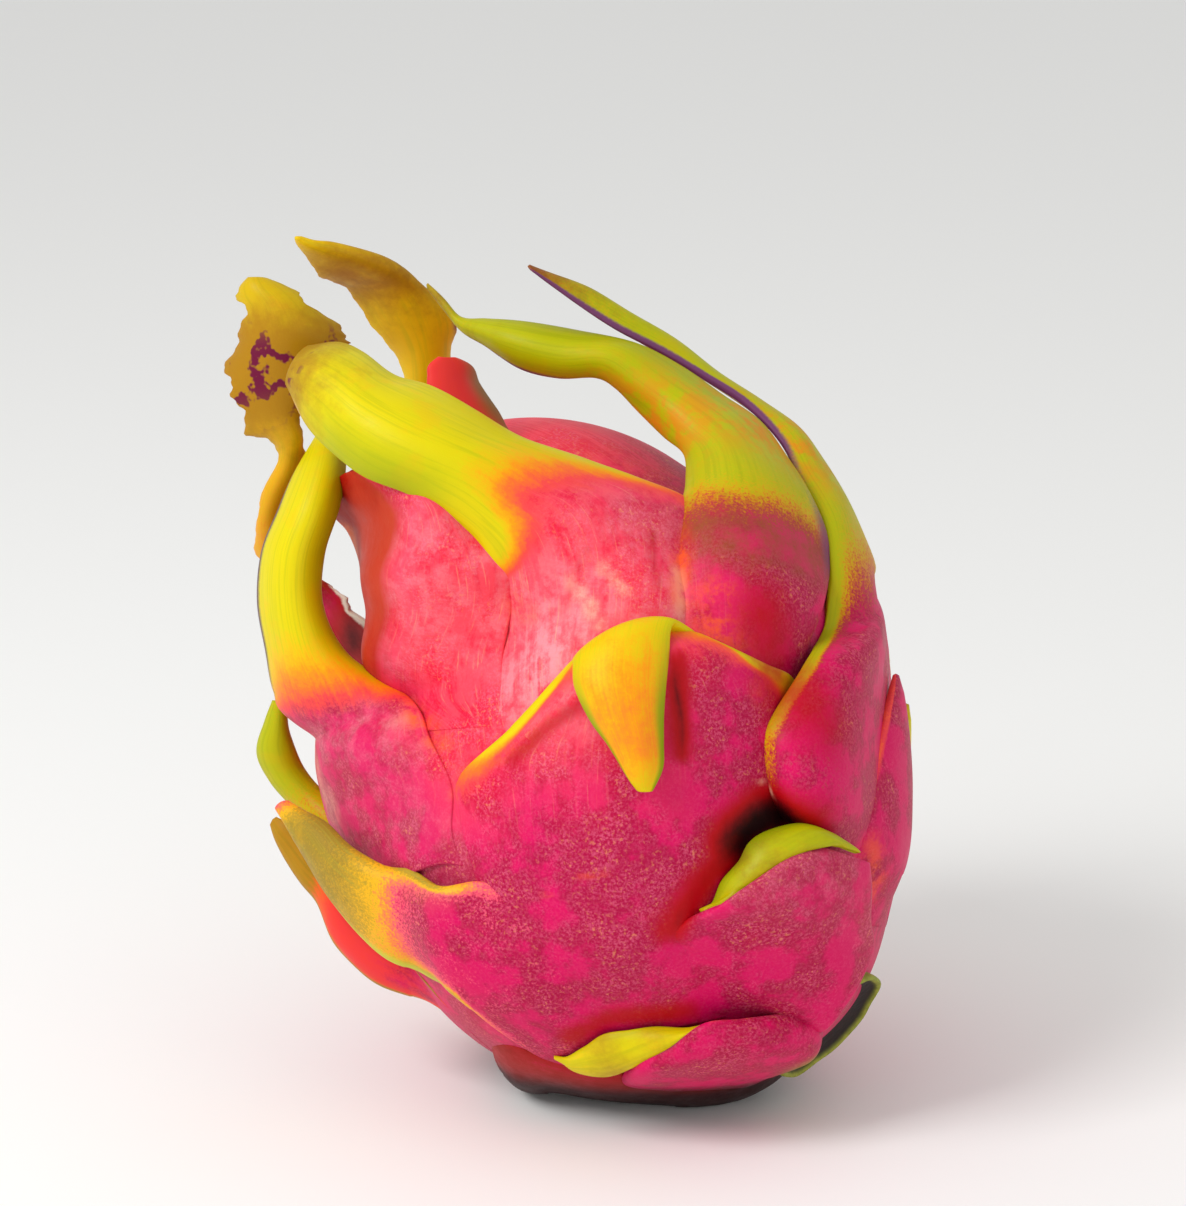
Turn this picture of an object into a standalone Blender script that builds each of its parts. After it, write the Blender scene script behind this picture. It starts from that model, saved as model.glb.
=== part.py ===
"""Dragon fruit, as picked, lying on the flat spot of its underside.

Frame: metres, +Z up, origin at the centre of the flat resting spot, the photographed side
facing -Y. Sizes below are in millimetres and turned to metres when a mesh is made.
"""
import math

import bmesh
import bpy
import numpy as np

MM = 0.001

# The flesh: an egg on a leaning axis, 115 mm long and 90 mm across
CENTRE = np.array((-3.5, 0.0, 54.0))
AXIS = np.array((-0.467, 0.424, 0.776))
HALF_LENGTH = 57.5
HALF_GIRTH = 45.0
FLOWER_END_SLIMMER = 0.26
SLIM_FROM_TO = 0.62
SWAY = 12.5
BODY_AROUND = 42
BODY_ALONG = 24

# Flower-end dimple and flat resting spot
DIMPLE_RADIUS = 6.0
DIMPLE_OUT = 4.2
FLOOR_BLOCK = 200.0

# Cut stem end, seated in a recess of the lower right
STEM_PLACE = np.array((27.3, -21.8, 16.6))
STEM_WAY = np.array((0.67, -0.52, -0.53))
STEM_LENGTH = 8.0
STEM_ROOT_RADIUS = 8.0
STEM_CUT_RADIUS = 10.6
STEM_SIDES = 24
STEM_GAP = 0.3
PITH_RADIUS = 8.6
PITH_DEPTH = 2.0

# Scales: thinnest blade, sides round the blade where it is broad or slim, and rings along it
THINNEST = 0.9
BROAD_FROM = 24.0
BROAD_SIDES = 12
SLIM_SIDES = 10
RINGS_PER_KNOT = 1.25
FINE_STEPS = 400

RIND_COLOUR = (0.62, 0.015, 0.15, 1.0)
STEM_COLOUR = (0.16, 0.2, 0.05, 1.0)


def unit(v):
    """Vectors scaled to length one."""
    return v / np.linalg.norm(v, axis=-1, keepdims=True)


AXIS = unit(AXIS)
FRONT = unit(np.array((0.0, -1.0, 0.0)) + AXIS[1] * AXIS)
SIDE = np.cross(AXIS, FRONT)


def girth(along):
    """Round radius at a place along the axis, -1 at the stem end to 1 at the flower end."""
    y = np.clip(along / SLIM_FROM_TO, 0.0, 1.0)
    slim = 1.0 - FLOWER_END_SLIMMER * y * y * (3.0 - 2.0 * y)
    return HALF_GIRTH * slim * np.sqrt(np.maximum(1.0 - along ** 2, 0.0))


def sway(along):
    """Sideways shift of the cross-sections, which leaves both ends in place."""
    return SWAY * along * (1.0 - along ** 2)


def skin_point(along, turn):
    """Point of the skin, for a place along the axis and an angle round it from the front."""
    radial = np.cos(turn)[..., None] * FRONT + np.sin(turn)[..., None] * SIDE
    middle = CENTRE + (HALF_LENGTH * along)[..., None] * AXIS + sway(along)[..., None] * SIDE
    return middle + girth(along)[..., None] * radial


def on(along_mm, degrees, lift):
    """Point over the skin: mm along the axis, degrees round it from the front, and its height."""
    a = np.array(along_mm / HALF_LENGTH)
    t = np.array(math.radians(degrees))
    d = 0.001
    up_way = skin_point(a + d, t) - skin_point(a - d, t)
    round_way = skin_point(a, t + d) - skin_point(a, t - d)
    return skin_point(a, t) + lift * unit(np.cross(round_way, up_way))


def root(along_mm, degrees, lift, half_width, cup, thick):
    """Knot of a slim scale on the skin: its place, the way out, half width, cup angle, thickness."""
    place = on(along_mm, degrees, lift)
    return (place, unit(on(along_mm, degrees, lift + 1.0) - place), half_width, cup, thick)


def free(place, normal, half_width, cup, thick):
    """Knot of a slim scale in the open: its place and the way its outer face looks."""
    return (np.array(place, float), unit(np.array(normal, float)), half_width, cup, thick)


def slim_rails(*route):
    """Left margin, midrib, right margin and thickness of a slim scale, from its knots."""
    middle = np.array([knot[0] for knot in route])
    out = np.array([knot[1] for knot in route])
    width, cup, thick = (np.array([knot[k] for knot in route])[:, None] for k in (2, 3, 4))
    along = np.gradient(middle, axis=0)
    wide = unit(np.cross(along, out))
    out = unit(np.cross(wide, along))
    drop = width * np.sin(cup) * out
    reach = width * np.cos(cup) * wide
    return middle - reach - drop, middle, middle + reach - drop, thick


def broad_rails(*sections):
    """The same for a broad scale, from sections of left margin, midrib, right margin, thickness."""
    left, middle, right = (np.array([section[k] for section in sections], float) for k in range(3))
    return left, middle, right, np.array([section[3] for section in sections], float)[:, None]


def far_scale(along_mm, degrees, half_width, reach, flare, lean):
    """Scale of the far side: a broad root, a lip, and a tip that stands away from the skin."""
    lip = along_mm + 10.0
    return slim_rails(
        root(along_mm - 12.0, degrees - lean, -2.0, half_width, 0.45, 3.0),
        root(along_mm, degrees, 1.2, half_width, 0.5, 3.0),
        root(lip, degrees, 2.6, 0.72 * half_width, 0.4, 2.6),
        root(lip + 0.45 * reach, degrees + lean, 2.6 + 0.45 * flare, 0.42 * half_width, 0.4, 2.2),
        root(lip + reach, degrees + 2.0 * lean, 2.6 + flare, 0.6, 0.2, 1.6),
    )


def scale_routes():
    """Every scale of the fruit, by name, as the rails of its knots from buried root to tip."""
    routes = {}
    routes["front_strap"] = broad_rails(
        (on(-2, -12, -2), on(-10, 4, -1.5), on(-15, 21, -2), 3),
        (on(8.5, -11, -1), on(3, 8, 1.5), on(-3, 27, -0.5), 3),
        (on(15.5, -9, 0), on(9, 13, 4.5), on(6, 32, 1), 3),
        ((-23, -28.5, 85), (-8.5, -32.5, 92), on(13, 39, 2), 3),
        ((-23.5, -31, 90.5), (-11.5, -31, 98.5), (8, -19, 97.5), 2.8),
        ((-26, -31.5, 95), (-17, -30.5, 101.5), (-0.5, -18.5, 101.5), 2.7),
        ((-29.5, -31, 98), (-21.5, -30.5, 104.5), (-8, -17.5, 103.5), 2.6),
        ((-33, -30.5, 100), (-26.5, -30.5, 107), (-17, -17.5, 106.5), 2.4),
        ((-37, -29.5, 102), (-32, -30, 109.5), (-25, -18, 111.5), 2.2),
        ((-42.5, -27, 104), (-37.5, -28.5, 112), (-32, -17, 115), 2),
        ((-46.5, -23.5, 106), (-42.5, -25.5, 114.5), (-37.5, -14, 116.5), 1.9),
        ((-50, -19.5, 109), (-46.5, -21.5, 117), (-42.5, -12, 119.5), 1.8),
        ((-52.5, -16, 112), (-50, -18, 118.5), (-46.5, -10.5, 121), 1.6),
        ((-54.5, -13, 115.5), (-53, -14, 119), (-51, -10, 120.5), 1.4),
    )
    routes["left_strap"] = broad_rails(
        (on(-6, -100, -2), on(-7, -51, -2), on(-13, -29, -2), 3),
        (on(-1, -100, -0.5), (-46.5, -13, 42), on(-6.5, -29, -0.5), 3),
        (on(6, -100, 0), (-49, -12, 49), on(-1.5, -26, -0.5), 3),
        (on(13, -98, 0), (-50, -13, 54), on(3, -27, -0.5), 3),
        (on(18, -94, 1), (-50, -14, 57.5), on(7.5, -30, 0), 3),
        ((-55.5, -6, 60.5), (-48.5, -17.5, 62.5), on(13, -34, 1), 3),
        ((-58, -8, 65), (-50.5, -18.5, 68.5), (-39, -17, 67.5), 2.8),
        ((-59, -9.5, 72), (-53, -18.5, 74.5), (-46, -15, 72), 2.5),
        ((-60, -10.5, 80.5), (-54.5, -18.5, 82.5), (-50, -14, 80), 2.3),
        ((-59, -11, 88.5), (-54, -18.5, 90), (-49.5, -14, 88.5), 2.1),
        ((-56.5, -11, 94.5), (-51.5, -17, 96.5), (-47, -12.5, 95.5), 1.9),
        ((-54, -8, 99.5), (-49.5, -12.5, 102), (-46, -9.5, 100.5), 1.8),
        ((-50.5, -4, 104.5), (-48.5, -5.5, 106), (-46, -4.5, 105), 1.4),
    )
    routes["withered_flap"] = broad_rails(
        (on(-8, -118, -2), on(-8, -108, -2), on(-8, -96, -2), 3),
        (on(4, -125, 1), on(5, -112, 1.5), on(6, -96, 0), 3),
        ((-55, 12, 66.5), (-49, 8, 69), (-40.5, -2, 70), 2.4),
        ((-57.5, 9, 74), (-52, 5, 76.5), (-46.5, 3, 77), 2),
        ((-60, 5, 83), (-57.5, 2, 84), (-54.5, 4, 82.5), 1.8),
        ((-60.5, 1, 90.5), (-58.5, -1.5, 91.5), (-56, 1, 90.5), 1.8),
        ((-59, -1, 95), (-57, -3, 96), (-54, 0, 95.5), 1.8),
        ((-56.5, -2, 100), (-55, -4, 101), (-52.5, -2, 100.5), 1.8),
        ((-57, -3, 103.5), (-54.5, -5, 104.5), (-52.5, -3, 104.5), 1.8),
        ((-60.5, -3, 106), (-56, -5, 108.5), (-52.5, -4, 108.5), 1.8),
        ((-63, -2, 110.5), (-57, -5, 112.5), (-52, -4, 113), 1.8),
        ((-64, -1, 115), (-56.5, -5, 117), (-48.5, -3, 117.5), 1.8),
        ((-63, -1, 120.5), (-55, -5, 121.5), (-45.5, -1, 120), 1.8),
        ((-61.5, -1, 125.5), (-56, -4.5, 125.5), (-50, -1, 124), 1.8),
        ((-61.5, -1, 128.5), (-59, -3, 129), (-55.5, -1, 128), 1.6),
        ((-60.5, -1, 130), (-59.5, -2, 130), (-58, -1, 129.5), 1.2),
    )
    routes["far_strap"] = broad_rails(
        (on(38, 160, -2), on(36, 175, -2), on(38, 195, -2), 3),
        (on(46, 162, 1), on(44, 174, 2), on(45, 190, 1), 2.6),
        ((-39.5, 33, 99.5), (-35.5, 31, 100), (-31, 33, 99.5), 2.2),
        ((-38.5, 32, 106), (-35, 29.5, 106.5), (-31, 32, 106.5), 2),
        ((-40, 30, 111.5), (-35, 27.5, 113), (-31, 30, 112.5), 1.8),
        ((-43.5, 28, 117), (-36.5, 25, 119), (-30.5, 28, 118.5), 1.8),
        ((-47, 26, 122), (-39, 23, 124), (-33, 26, 122), 1.8),
        ((-50.5, 23, 125.5), (-43, 20, 127.5), (-37.5, 23, 126), 1.8),
        ((-52.5, 20, 127.5), (-47.5, 17.5, 130), (-43, 20, 129.5), 1.8),
        ((-54, 18, 130), (-51, 16, 131.5), (-48, 18, 131.5), 1.6),
        ((-55, 16, 132.5), (-53.5, 15, 132.5), (-52, 16, 132.5), 1.4),
        ((-55, 15, 133.5), (-55, 14.5, 133.5), (-54.5, 15, 133.5), 1),
    )
    routes["red_leaf"] = broad_rails(
        (on(44, 5, -2), on(46, 22, -2), on(44, 38, -2), 2.6),
        ((-32.5, -4, 107), (-26, -1, 105.5), (-20.5, 3, 104), 2.4),
        ((-33, -3, 111), (-28, -1, 110), (-22.5, 5, 107.5), 2.2),
        ((-33, -2, 114), (-29, 0, 113), (-25, 6, 111.5), 2),
        ((-32.5, -1, 116), (-29.5, 1, 115.5), (-26.5, 5, 114.5), 1.8),
        ((-31, 0, 117), (-30, 1, 116.5), (-28.5, 3, 115.5), 1.4),
    )
    routes["inner_left_scale"] = broad_rails(
        (on(15, -49, -2), on(8.5, -30, -2), on(2, -11, -2), 3),
        (on(23, -68, -1), on(18.5, -48, 1), on(8, -10, -0.5), 3),
        ((-41.5, -12, 72), (-39.5, -23, 75), on(13, -8, 1), 3),
        ((-42, -9, 78), (-37.5, -27.5, 83), (-20, -30.5, 85.5), 2.8),
        ((-43, -5, 82), (-38, -29, 89), (-20.5, -31, 90.5), 2.6),
        ((-44.5, -4, 86.5), (-36.5, -29.5, 93.5), (-24.5, -30, 94.5), 2.4),
        ((-46, -3, 89.5), (-36, -29, 98), (-29, -29, 98.5), 2.2),
        ((-48.5, -4, 93), (-38.5, -25, 101), (-33.5, -27.5, 101), 2),
        ((-46.5, -12, 100.5), (-43.5, -18, 103), (-40.5, -20, 101.5), 1.6),
    )
    routes["right_strap"] = broad_rails(
        (on(-10.5, 26, -2), on(-13.5, 37, -1.5), on(-13.5, 52, -2), 3),
        (on(0.5, 25, -1), on(-4, 40, 1.5), on(-6.5, 55, 0.5), 3),
        (on(9.5, 28, 0.5), on(3, 42, 4), on(-0.5, 61, 2.5), 3),
        (on(16, 35, 2), (15.5, -27, 94), (29, -13, 87.5), 2.8),
        ((6, -20, 98), (15.5, -22, 98), (28.5, -11, 92.5), 2.6),
        ((7, -14, 100.5), (15.5, -17.5, 102), (26, -8, 98), 2.4),
        ((7, -9, 103.5), (14.5, -13, 105), (23.5, -3.5, 101.5), 2.3),
        ((4, -4, 105.5), (11.5, -8.5, 108), (19.5, 1, 106.5), 2.2),
        ((0, -1, 109), (7, -5, 111), (13.5, 3, 110.5), 2),
        ((-3.5, 0, 112.5), (1.5, -3, 114.5), (7, 4, 115), 1.9),
        ((-6.5, 0, 114), (-4, -2, 118), (0, 4, 118.5), 1.8),
        ((-12.5, 2, 113.5), (-11.5, -0.5, 118), (-10, 5, 120.5), 1.8),
        ((-18.5, 4, 114.5), (-18.5, 1.5, 119), (-18, 6, 121.5), 1.7),
        ((-24, 7, 117.5), (-24, 5, 120), (-24, 8, 121.5), 1.6),
        ((-28, 9, 119.5), (-28.5, 8.5, 121), (-28.5, 10, 121.5), 1.5),
        ((-31, 11, 122.5), (-31, 10.5, 123.5), (-31, 11.5, 124), 1.3),
        ((-34, 14, 125.5), (-34, 14, 126), (-34, 14, 126.5), 1),
    )
    routes["arch_strap"] = broad_rails(
        (on(-33.5, 36, -2), on(-42.5, 61, -2), on(-34, 112, -2), 3),
        (on(-29, 41, -1), on(-34.5, 60, 1), on(-27, 112, 0), 3),
        (on(-23, 38, 1.5), on(-28.5, 54, 4.5), on(-20, 112, 1.5), 3),
        (on(-17, 38, 2.5), on(-21, 55, 5.5), on(-12, 110, 2), 3),
        (on(-13.5, 41, 3.5), on(-14, 60, 5.5), on(-5, 106, 2.2), 3),
        (on(-9, 48, 4.5), on(-8.5, 66, 5.5), on(2, 104, 2.4), 3),
        ((27.5, -19, 79), (35.5, -9, 79), on(8, 104, 2.6), 2.8),
        ((29, -15, 86), (34, -6, 86.5), (37.5, 6, 81), 2.6),
        ((28.5, -10, 92.5), (32.5, -3, 92.5), (33.5, 8, 89), 2.4),
        ((25, -4, 99), (28.5, 1, 99.5), (29, 10, 97), 2.2),
        ((22.5, 0, 103.5), (25.5, 4, 104), (24, 12, 101.5), 2),
        ((17, 4, 109), (19.5, 7.5, 108), (18, 13, 106.5), 2),
        ((10, 5, 113.5), (12.5, 8.5, 112.5), (11.5, 13, 111), 2),
        ((3, 5, 117.5), (5.5, 8.5, 118), (4, 12, 115.5), 2),
        ((-3.5, 4, 121), (-1.5, 7, 122.5), (-3, 10, 120), 1.8),
        ((-9.5, 3, 125), (-8.5, 5, 127), (-9.5, 8, 124.5), 1.7),
        ((-14, 1.5, 128.5), (-14, 3, 129.5), (-14.5, 5, 128.5), 1.5),
        ((-17, 0, 131), (-17.5, 0.5, 131.5), (-17.5, 1, 131.5), 1),
    )
    routes["folded_scale"] = broad_rails(
        (on(-40, -43, -2), on(-48.5, -12, -1.5), on(-51.5, 27, -2), 3),
        (on(-26.5, -36, -1), on(-36.5, 2, 1), on(-39.5, 56, -2), 3),
        (on(-15, -28, -0.5), on(-26, 9, 2.5), on(-28, 54, -1), 3),
        (on(-6, -26, -0.5), on(-16, 13, 3.5), on(-20.5, 51, 0), 3),
        (on(-0.5, -22, 0.5), on(-8.5, 16, 4.5), on(-13.5, 50, 1), 3),
        (on(0.5, -10, 1.5), on(-4, 17, 6.5), on(-9, 47, 2.5), 2.8),
        (on(2, 0, 3.5), on(-0.5, 19, 8), on(-5.5, 38, 4.5), 2.6),
        ((-11, -41, 77.5), (-1, -41.5, 82.5), (9, -38, 81), 2.4),
        ((-10.5, -46, 79), (-3, -46, 84), (4.5, -43, 84.5), 2.2),
        ((-10, -49.5, 76), (-4, -51, 79), (3.5, -47, 79.5), 2),
        ((-7.5, -51, 71.5), (-3, -53.5, 74), (3, -50, 73), 1.9),
        ((-5, -52, 68.5), (-1.5, -54.5, 69.5), (3, -51, 68.5), 1.8),
        ((-3, -52.5, 65.5), (-0.5, -54.5, 66), (3, -52, 65), 1.7),
        ((-1.5, -53, 63), (0, -54, 63), (2, -53, 62.5), 1.4),
        ((-0.5, -53, 61.5), (0.5, -53.5, 61.5), (1.5, -53, 61.5), 1),
    )
    routes["left_spur"] = broad_rails(
        (on(-50.5, -62, -2), on(-40.5, -18, -2), on(-27, -5, -2), 3),
        (on(-44, -60, -0.5), on(-32.5, -30, 1), on(-21, -19, -1), 3),
        (on(-33.5, -53, 0.5), on(-24.5, -36, 2), on(-15.5, -27, 0.5), 3),
        (on(-26.5, -50, 2), on(-18, -39, 3.5), on(-13, -34, 2.5), 2.8),
        ((-33, -27, 24.5), (-36, -33, 35.5), (-35.5, -32, 43), 2.6),
        ((-38.5, -26, 26), (-39.5, -31, 37.5), (-39, -30, 42.5), 2.4),
        ((-43.5, -24, 29.5), (-44, -28.5, 39.5), (-43, -27, 43.5), 2.2),
        ((-49, -21.5, 35.5), (-48, -25, 41.5), (-46, -23.5, 44.5), 2.1),
        ((-53, -18.5, 41), (-51.5, -21, 44.5), (-49.5, -19.5, 46.5), 2),
        ((-56, -16, 45), (-54.5, -17.5, 46.5), (-53, -16.5, 47.5), 1.8),
        ((-58, -14, 47.5), (-57.5, -14.5, 48.5), (-56, -14, 48.5), 1.4),
    )
    routes["left_under_spur"] = broad_rails(
        (on(-38, -80, -2), on(-34, -72, -2), on(-30, -66, -2), 3),
        ((-27, -18, 15), (-28.5, -22, 20), (-30, -22, 24), 2.8),
        ((-32.5, -17, 16.5), (-33.5, -20, 20.5), (-34, -20, 25), 2.6),
        ((-36.5, -16, 17), (-37.5, -19, 22), (-37.5, -18, 26), 2.4),
        ((-41.5, -15, 18.5), (-42, -18, 24), (-42, -17, 28.5), 2.2),
        ((-45, -14, 21), (-45.5, -17, 26.5), (-45, -16, 30.5), 2.1),
        ((-48.5, -13, 24.5), (-48, -16, 29.5), (-47.5, -15, 33), 2),
        ((-51.5, -11.5, 31), (-51, -13.5, 34.5), (-50, -13, 37.5), 1.9),
        ((-54, -11, 34), (-53.5, -12.5, 37), (-52.5, -12, 40.5), 1.8),
        ((-56.5, -10, 37.5), (-56, -11, 40), (-54.5, -11, 42.5), 1.7),
        ((-58.5, -9, 41), (-58, -10, 42.5), (-57, -10, 44), 1.5),
        ((-59.5, -9, 43.5), (-59, -9, 44), (-58.5, -9, 44.5), 1.1),
    )
    routes["left_tendril"] = broad_rails(
        (on(-14, -110, -2), on(-10, -104, -2), on(-6, -98, -2), 3),
        ((-45.5, -2, 34.5), (-44, -4, 38), (-43, -1, 40.5), 2.4),
        ((-52, 1, 38), (-50, -2, 41), (-48, 1, 42.5), 2),
        ((-56.5, 4, 42), (-54.5, 1, 44.5), (-52, 3, 45), 1.9),
        ((-60, 5, 46), (-57.5, 2, 48), (-54.5, 4, 48), 1.8),
        ((-62, 5, 51), (-59, 2, 52.5), (-56, 4, 51.5), 1.8),
        ((-60.5, 4, 56.5), (-58.5, 2, 56.5), (-57, 4, 55), 1.6),
        ((-59, 3, 60.5), (-58, 2, 60.5), (-57, 3, 59.5), 1.2),
    )
    routes["pocket_scale"] = broad_rails(
        (on(-43, -16, -2), on(-52, 1, -2), on(-57, 52, -2), 3),
        (on(-38, -2, -1), on(-46, 17, 1.5), on(-53.5, 38, 5), 3),
        (on(-36, 3, 1), on(-42.5, 24, 3.5), on(-52, 45, 5.5), 3),
        (on(-35, 10, 3), on(-40, 30, 6), on(-50, 53, 5.5), 2.8),
        (on(-34, 16, 6.5), on(-38, 33, 8), on(-47, 60, 5), 2.6),
        (on(-33, 23, 7.5), on(-36, 36, 8.5), on(-43, 55, 6.5), 2.4),
        (on(-32, 32, 8), on(-34, 40, 8.5), on(-39.5, 55, 7), 2.2),
        (on(-31.5, 40, 7), on(-33.5, 46, 7.5), on(-36, 55, 7), 1.6),
    )
    routes["pocket_lip"] = broad_rails(
        (on(-35, 13, 1.5), on(-35, 14, 2.5), on(-35, 15, 3), 2),
        (on(-34.5, 17, 2.5), on(-34.5, 19, 4), on(-34, 19, 5.5), 2),
        (on(-32.5, 21, 2.5), on(-33, 23, 5), on(-33.5, 24, 6.5), 2),
        (on(-31, 26, 3), on(-31.5, 27, 6), on(-32.5, 29, 7.5), 2),
        (on(-29, 29, 3.5), on(-30.5, 31, 7), on(-32, 33, 7.5), 2),
        (on(-28.5, 34, 3.5), on(-30, 36, 7.5), on(-31.5, 38, 8), 2),
        (on(-29, 40, 4), on(-30, 40, 7.5), on(-32, 43, 8.5), 2),
        (on(-31, 46, 4.5), on(-31.5, 45, 7.5), on(-33, 47, 8), 1.8),
        (on(-33, 51, 5), on(-33.5, 50, 7), on(-34.5, 52, 7.5), 1.4),
    )
    routes["foot_scale"] = broad_rails(
        (on(-57, 142, -2), on(-56.5, 60, -1), on(-54, 51, -2), 3),
        (on(-57, 28, 2), on(-54.5, 26, 4.5), on(-52.5, 32, 1.5), 3),
        ((20, -22, 6), on(-53.5, 10, 5), on(-51, 18, 2.5), 2.8),
        ((16.5, -22, 4), on(-52.5, -1, 4.5), on(-49, 7, 3.5), 2.6),
        ((12, -22, 3.5), on(-51.5, -14, 4), on(-47, -2, 4), 2.4),
        ((6.5, -23, 3.5), on(-50, -27, 3.5), on(-47.5, -15, 4), 2.2),
        ((1.5, -24, 4.5), on(-49, -36, 3), on(-47.5, -26, 3.5), 2),
        ((-3, -25, 6), (-3, -28, 7), (-2.5, -31, 9), 1.4),
    )
    routes["foot_inner"] = broad_rails(
        (on(-48.5, -4, 2.5), on(-48, -3, 3), on(-48.5, -5, 2), 1.8),
        (on(-48, -9, 3.5), on(-47.5, -9, 3.5), on(-48, -10, 1.5), 1.8),
        (on(-48, -20, 3.5), on(-46.5, -17, 3.5), on(-46, -17, 1), 1.8),
        (on(-47.5, -31, 3), on(-46, -25, 3), on(-44.5, -23, 1), 1.8),
        (on(-47, -42, 2.5), on(-45, -34, 3), on(-43, -30, 1), 1.8),
        (on(-46, -46, 2.5), on(-44, -41, 2.5), on(-43, -39, 1), 1.8),
        (on(-44, -50, 2), on(-43, -47, 2), on(-42.5, -48, 1), 1.6),
        (on(-42, -52, 0.5), on(-41.5, -51, 1), on(-41.5, -52, 0), 1.2),
    )
    routes["side_scale"] = slim_rails(
        root(-46, 72, -2, 10, 0.4, 3), root(-38, 76, 1.5, 12, 0.4, 3), root(-28, 80, 2.5, 10, 0.3, 2.6),
        root(-18, 82, 3.2, 5, 0.2, 2.2), root(-12, 84, 3.6, 0.6, 0.2, 1.6),
    )
    routes["seat_scale"] = slim_rails(
        free((18, -8, 4), (0, 0, -1), 6, 0.1, 5), free((11, -6, 2.8), (0, 0, -1), 11, 0.1, 6),
        free((0, -4, 2.6), (0, 0, -1), 14, 0.1, 6.2), free((-11, -4, 3.2), (0, 0, -1), 12, 0.1, 6),
        free((-16, -5, 5), (-0.3, 0, -1), 9, 0.1, 6), free((-19, -6, 8), (-0.5, 0, -1), 5, 0.1, 4),
    )
    routes["under_scale"] = broad_rails(
        ((23.5, -12, 5), (23, -16, 7), (22, -20, 9.5), 4),
        ((20.5, -12, 2), (19.5, -20, 6), (19, -25, 10), 4.5),
        ((16, -13, 0), (15.5, -22, 5), (14.5, -28, 9), 5),
        ((9.5, -14, -1), (9.5, -24, 4.5), (9, -31, 9.5), 5),
        ((1.5, -15, -0.5), (1.5, -26, 6), (1.5, -33, 11), 5),
        ((-6.5, -15, 0.5), (-6.5, -27, 7), (-6.5, -33.5, 12), 5),
        ((-13, -15, 1.5), (-13.5, -26, 8), (-13.5, -33, 13.5), 5),
        ((-17.5, -14, 1.5), (-18.5, -23, 7.5), (-19, -30, 15), 5),
        ((-20.5, -13, 3.5), (-21.5, -19, 8), (-21.5, -25, 14), 4),
    )
    far = (
        (-34, 118, 13, 12, 4, 0), (-36, 168, 13, 12, 4, 0), (-34, 226, 13, 12, 4, 0),
        (-12, 132, 15, 20, 8, 4), (-12, 194, 15, 20, 8, -4),
        (12, 118, 14, 14, 4, 6), (12, 164, 14, 22, 8, 0), (14, 224, 13, 20, 8, -6),
    )
    for number, values in enumerate(far):
        routes["far_scale_%d" % (number + 1)] = far_scale(*values)
    return routes


def smooth(knots, values, t):
    """Cubic curve through the knots; the slope at a knot comes from its two neighbours."""
    slopes = np.gradient(values, knots, axis=0)
    i = np.clip(np.searchsorted(knots, t) - 1, 0, len(knots) - 2)
    step = (knots[i + 1] - knots[i])[:, None]
    x = (t - knots[i])[:, None] / step
    start = (2 * x ** 3 - 3 * x ** 2 + 1) * values[i] + (x ** 3 - 2 * x ** 2 + x) * step * slopes[i]
    end = (3 * x ** 2 - 2 * x ** 3) * values[i + 1] + (x ** 3 - x ** 2) * step * slopes[i + 1]
    return start + end


def blade_points(rails, u, turn):
    """Points of a scale: u runs from root to tip, turn runs once round its lens section.

    The section is the parabola through left margin, midrib and right margin, with half the
    thickness added on its outer face and taken off on its inner face.
    """
    left, middle, right, thick = rails
    spans = np.linalg.norm(np.diff(middle, axis=0), axis=1) ** 0.8
    knots = np.concatenate([[0.0], np.cumsum(spans)]) / spans.sum()
    fine = np.linspace(0.0, 1.0, FINE_STEPS + 1)
    left, middle, right, thick = (smooth(knots, rail, fine) for rail in (left, middle, right, thick))
    half = (right - left) / 2
    bend = (right + left) / 2 - middle
    slopes = [np.gradient(rail, axis=0) for rail in (middle, half, bend)]
    pick = np.rint(u * FINE_STEPS).astype(int)
    open_end = np.where((u < 0.001) | (u > 0.999), 0.0, 1.0)
    v = (open_end * np.sign(np.cos(turn)) * np.abs(np.cos(turn)) ** 0.85)[:, None]
    face = open_end * np.sign(np.sin(turn)) * np.abs(np.sin(turn)) ** 0.65
    surface = middle[pick] + v * half[pick] + v ** 2 * bend[pick]
    along = slopes[0][pick] + v * slopes[1][pick] + v ** 2 * slopes[2][pick]
    across = half[pick] + 2 * v * bend[pick]
    normal = unit(np.cross(across, along) + 1e-9)
    width = np.linalg.norm(half[pick], axis=1)
    solid = np.maximum(thick[pick, 0] * np.minimum(1.0, 0.35 + 0.25 * width), THINNEST)
    return surface + (solid / 2 * face)[:, None] * normal


def ball_object(name, sides, rings, shape, collection):
    """Closed mesh from a UV sphere whose points are moved by shape(z-turned, round-turned)."""
    bm = bmesh.new()
    bmesh.ops.create_uvsphere(bm, u_segments=sides, v_segments=rings, radius=1.0)
    co = np.array([vert.co[:] for vert in bm.verts])
    polar = np.arccos(np.clip(-co[:, 2], -1.0, 1.0)) / math.pi
    turn = np.arctan2(co[:, 1], co[:, 0])
    for vert, place in zip(bm.verts, shape(polar, turn) * MM):
        vert.co = place
    bmesh.ops.triangulate(bm, faces=bm.faces[:], quad_method="FIXED")
    bmesh.ops.recalc_face_normals(bm, faces=bm.faces[:])
    mesh = bpy.data.meshes.new(name)
    bm.to_mesh(mesh)
    bm.free()
    thing = bpy.data.objects.new(name, mesh)
    collection.objects.link(thing)
    return thing


def flesh_shape(polar, turn):
    """The smooth skin under the scales."""
    return skin_point(-np.cos(polar * math.pi), turn)


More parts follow.
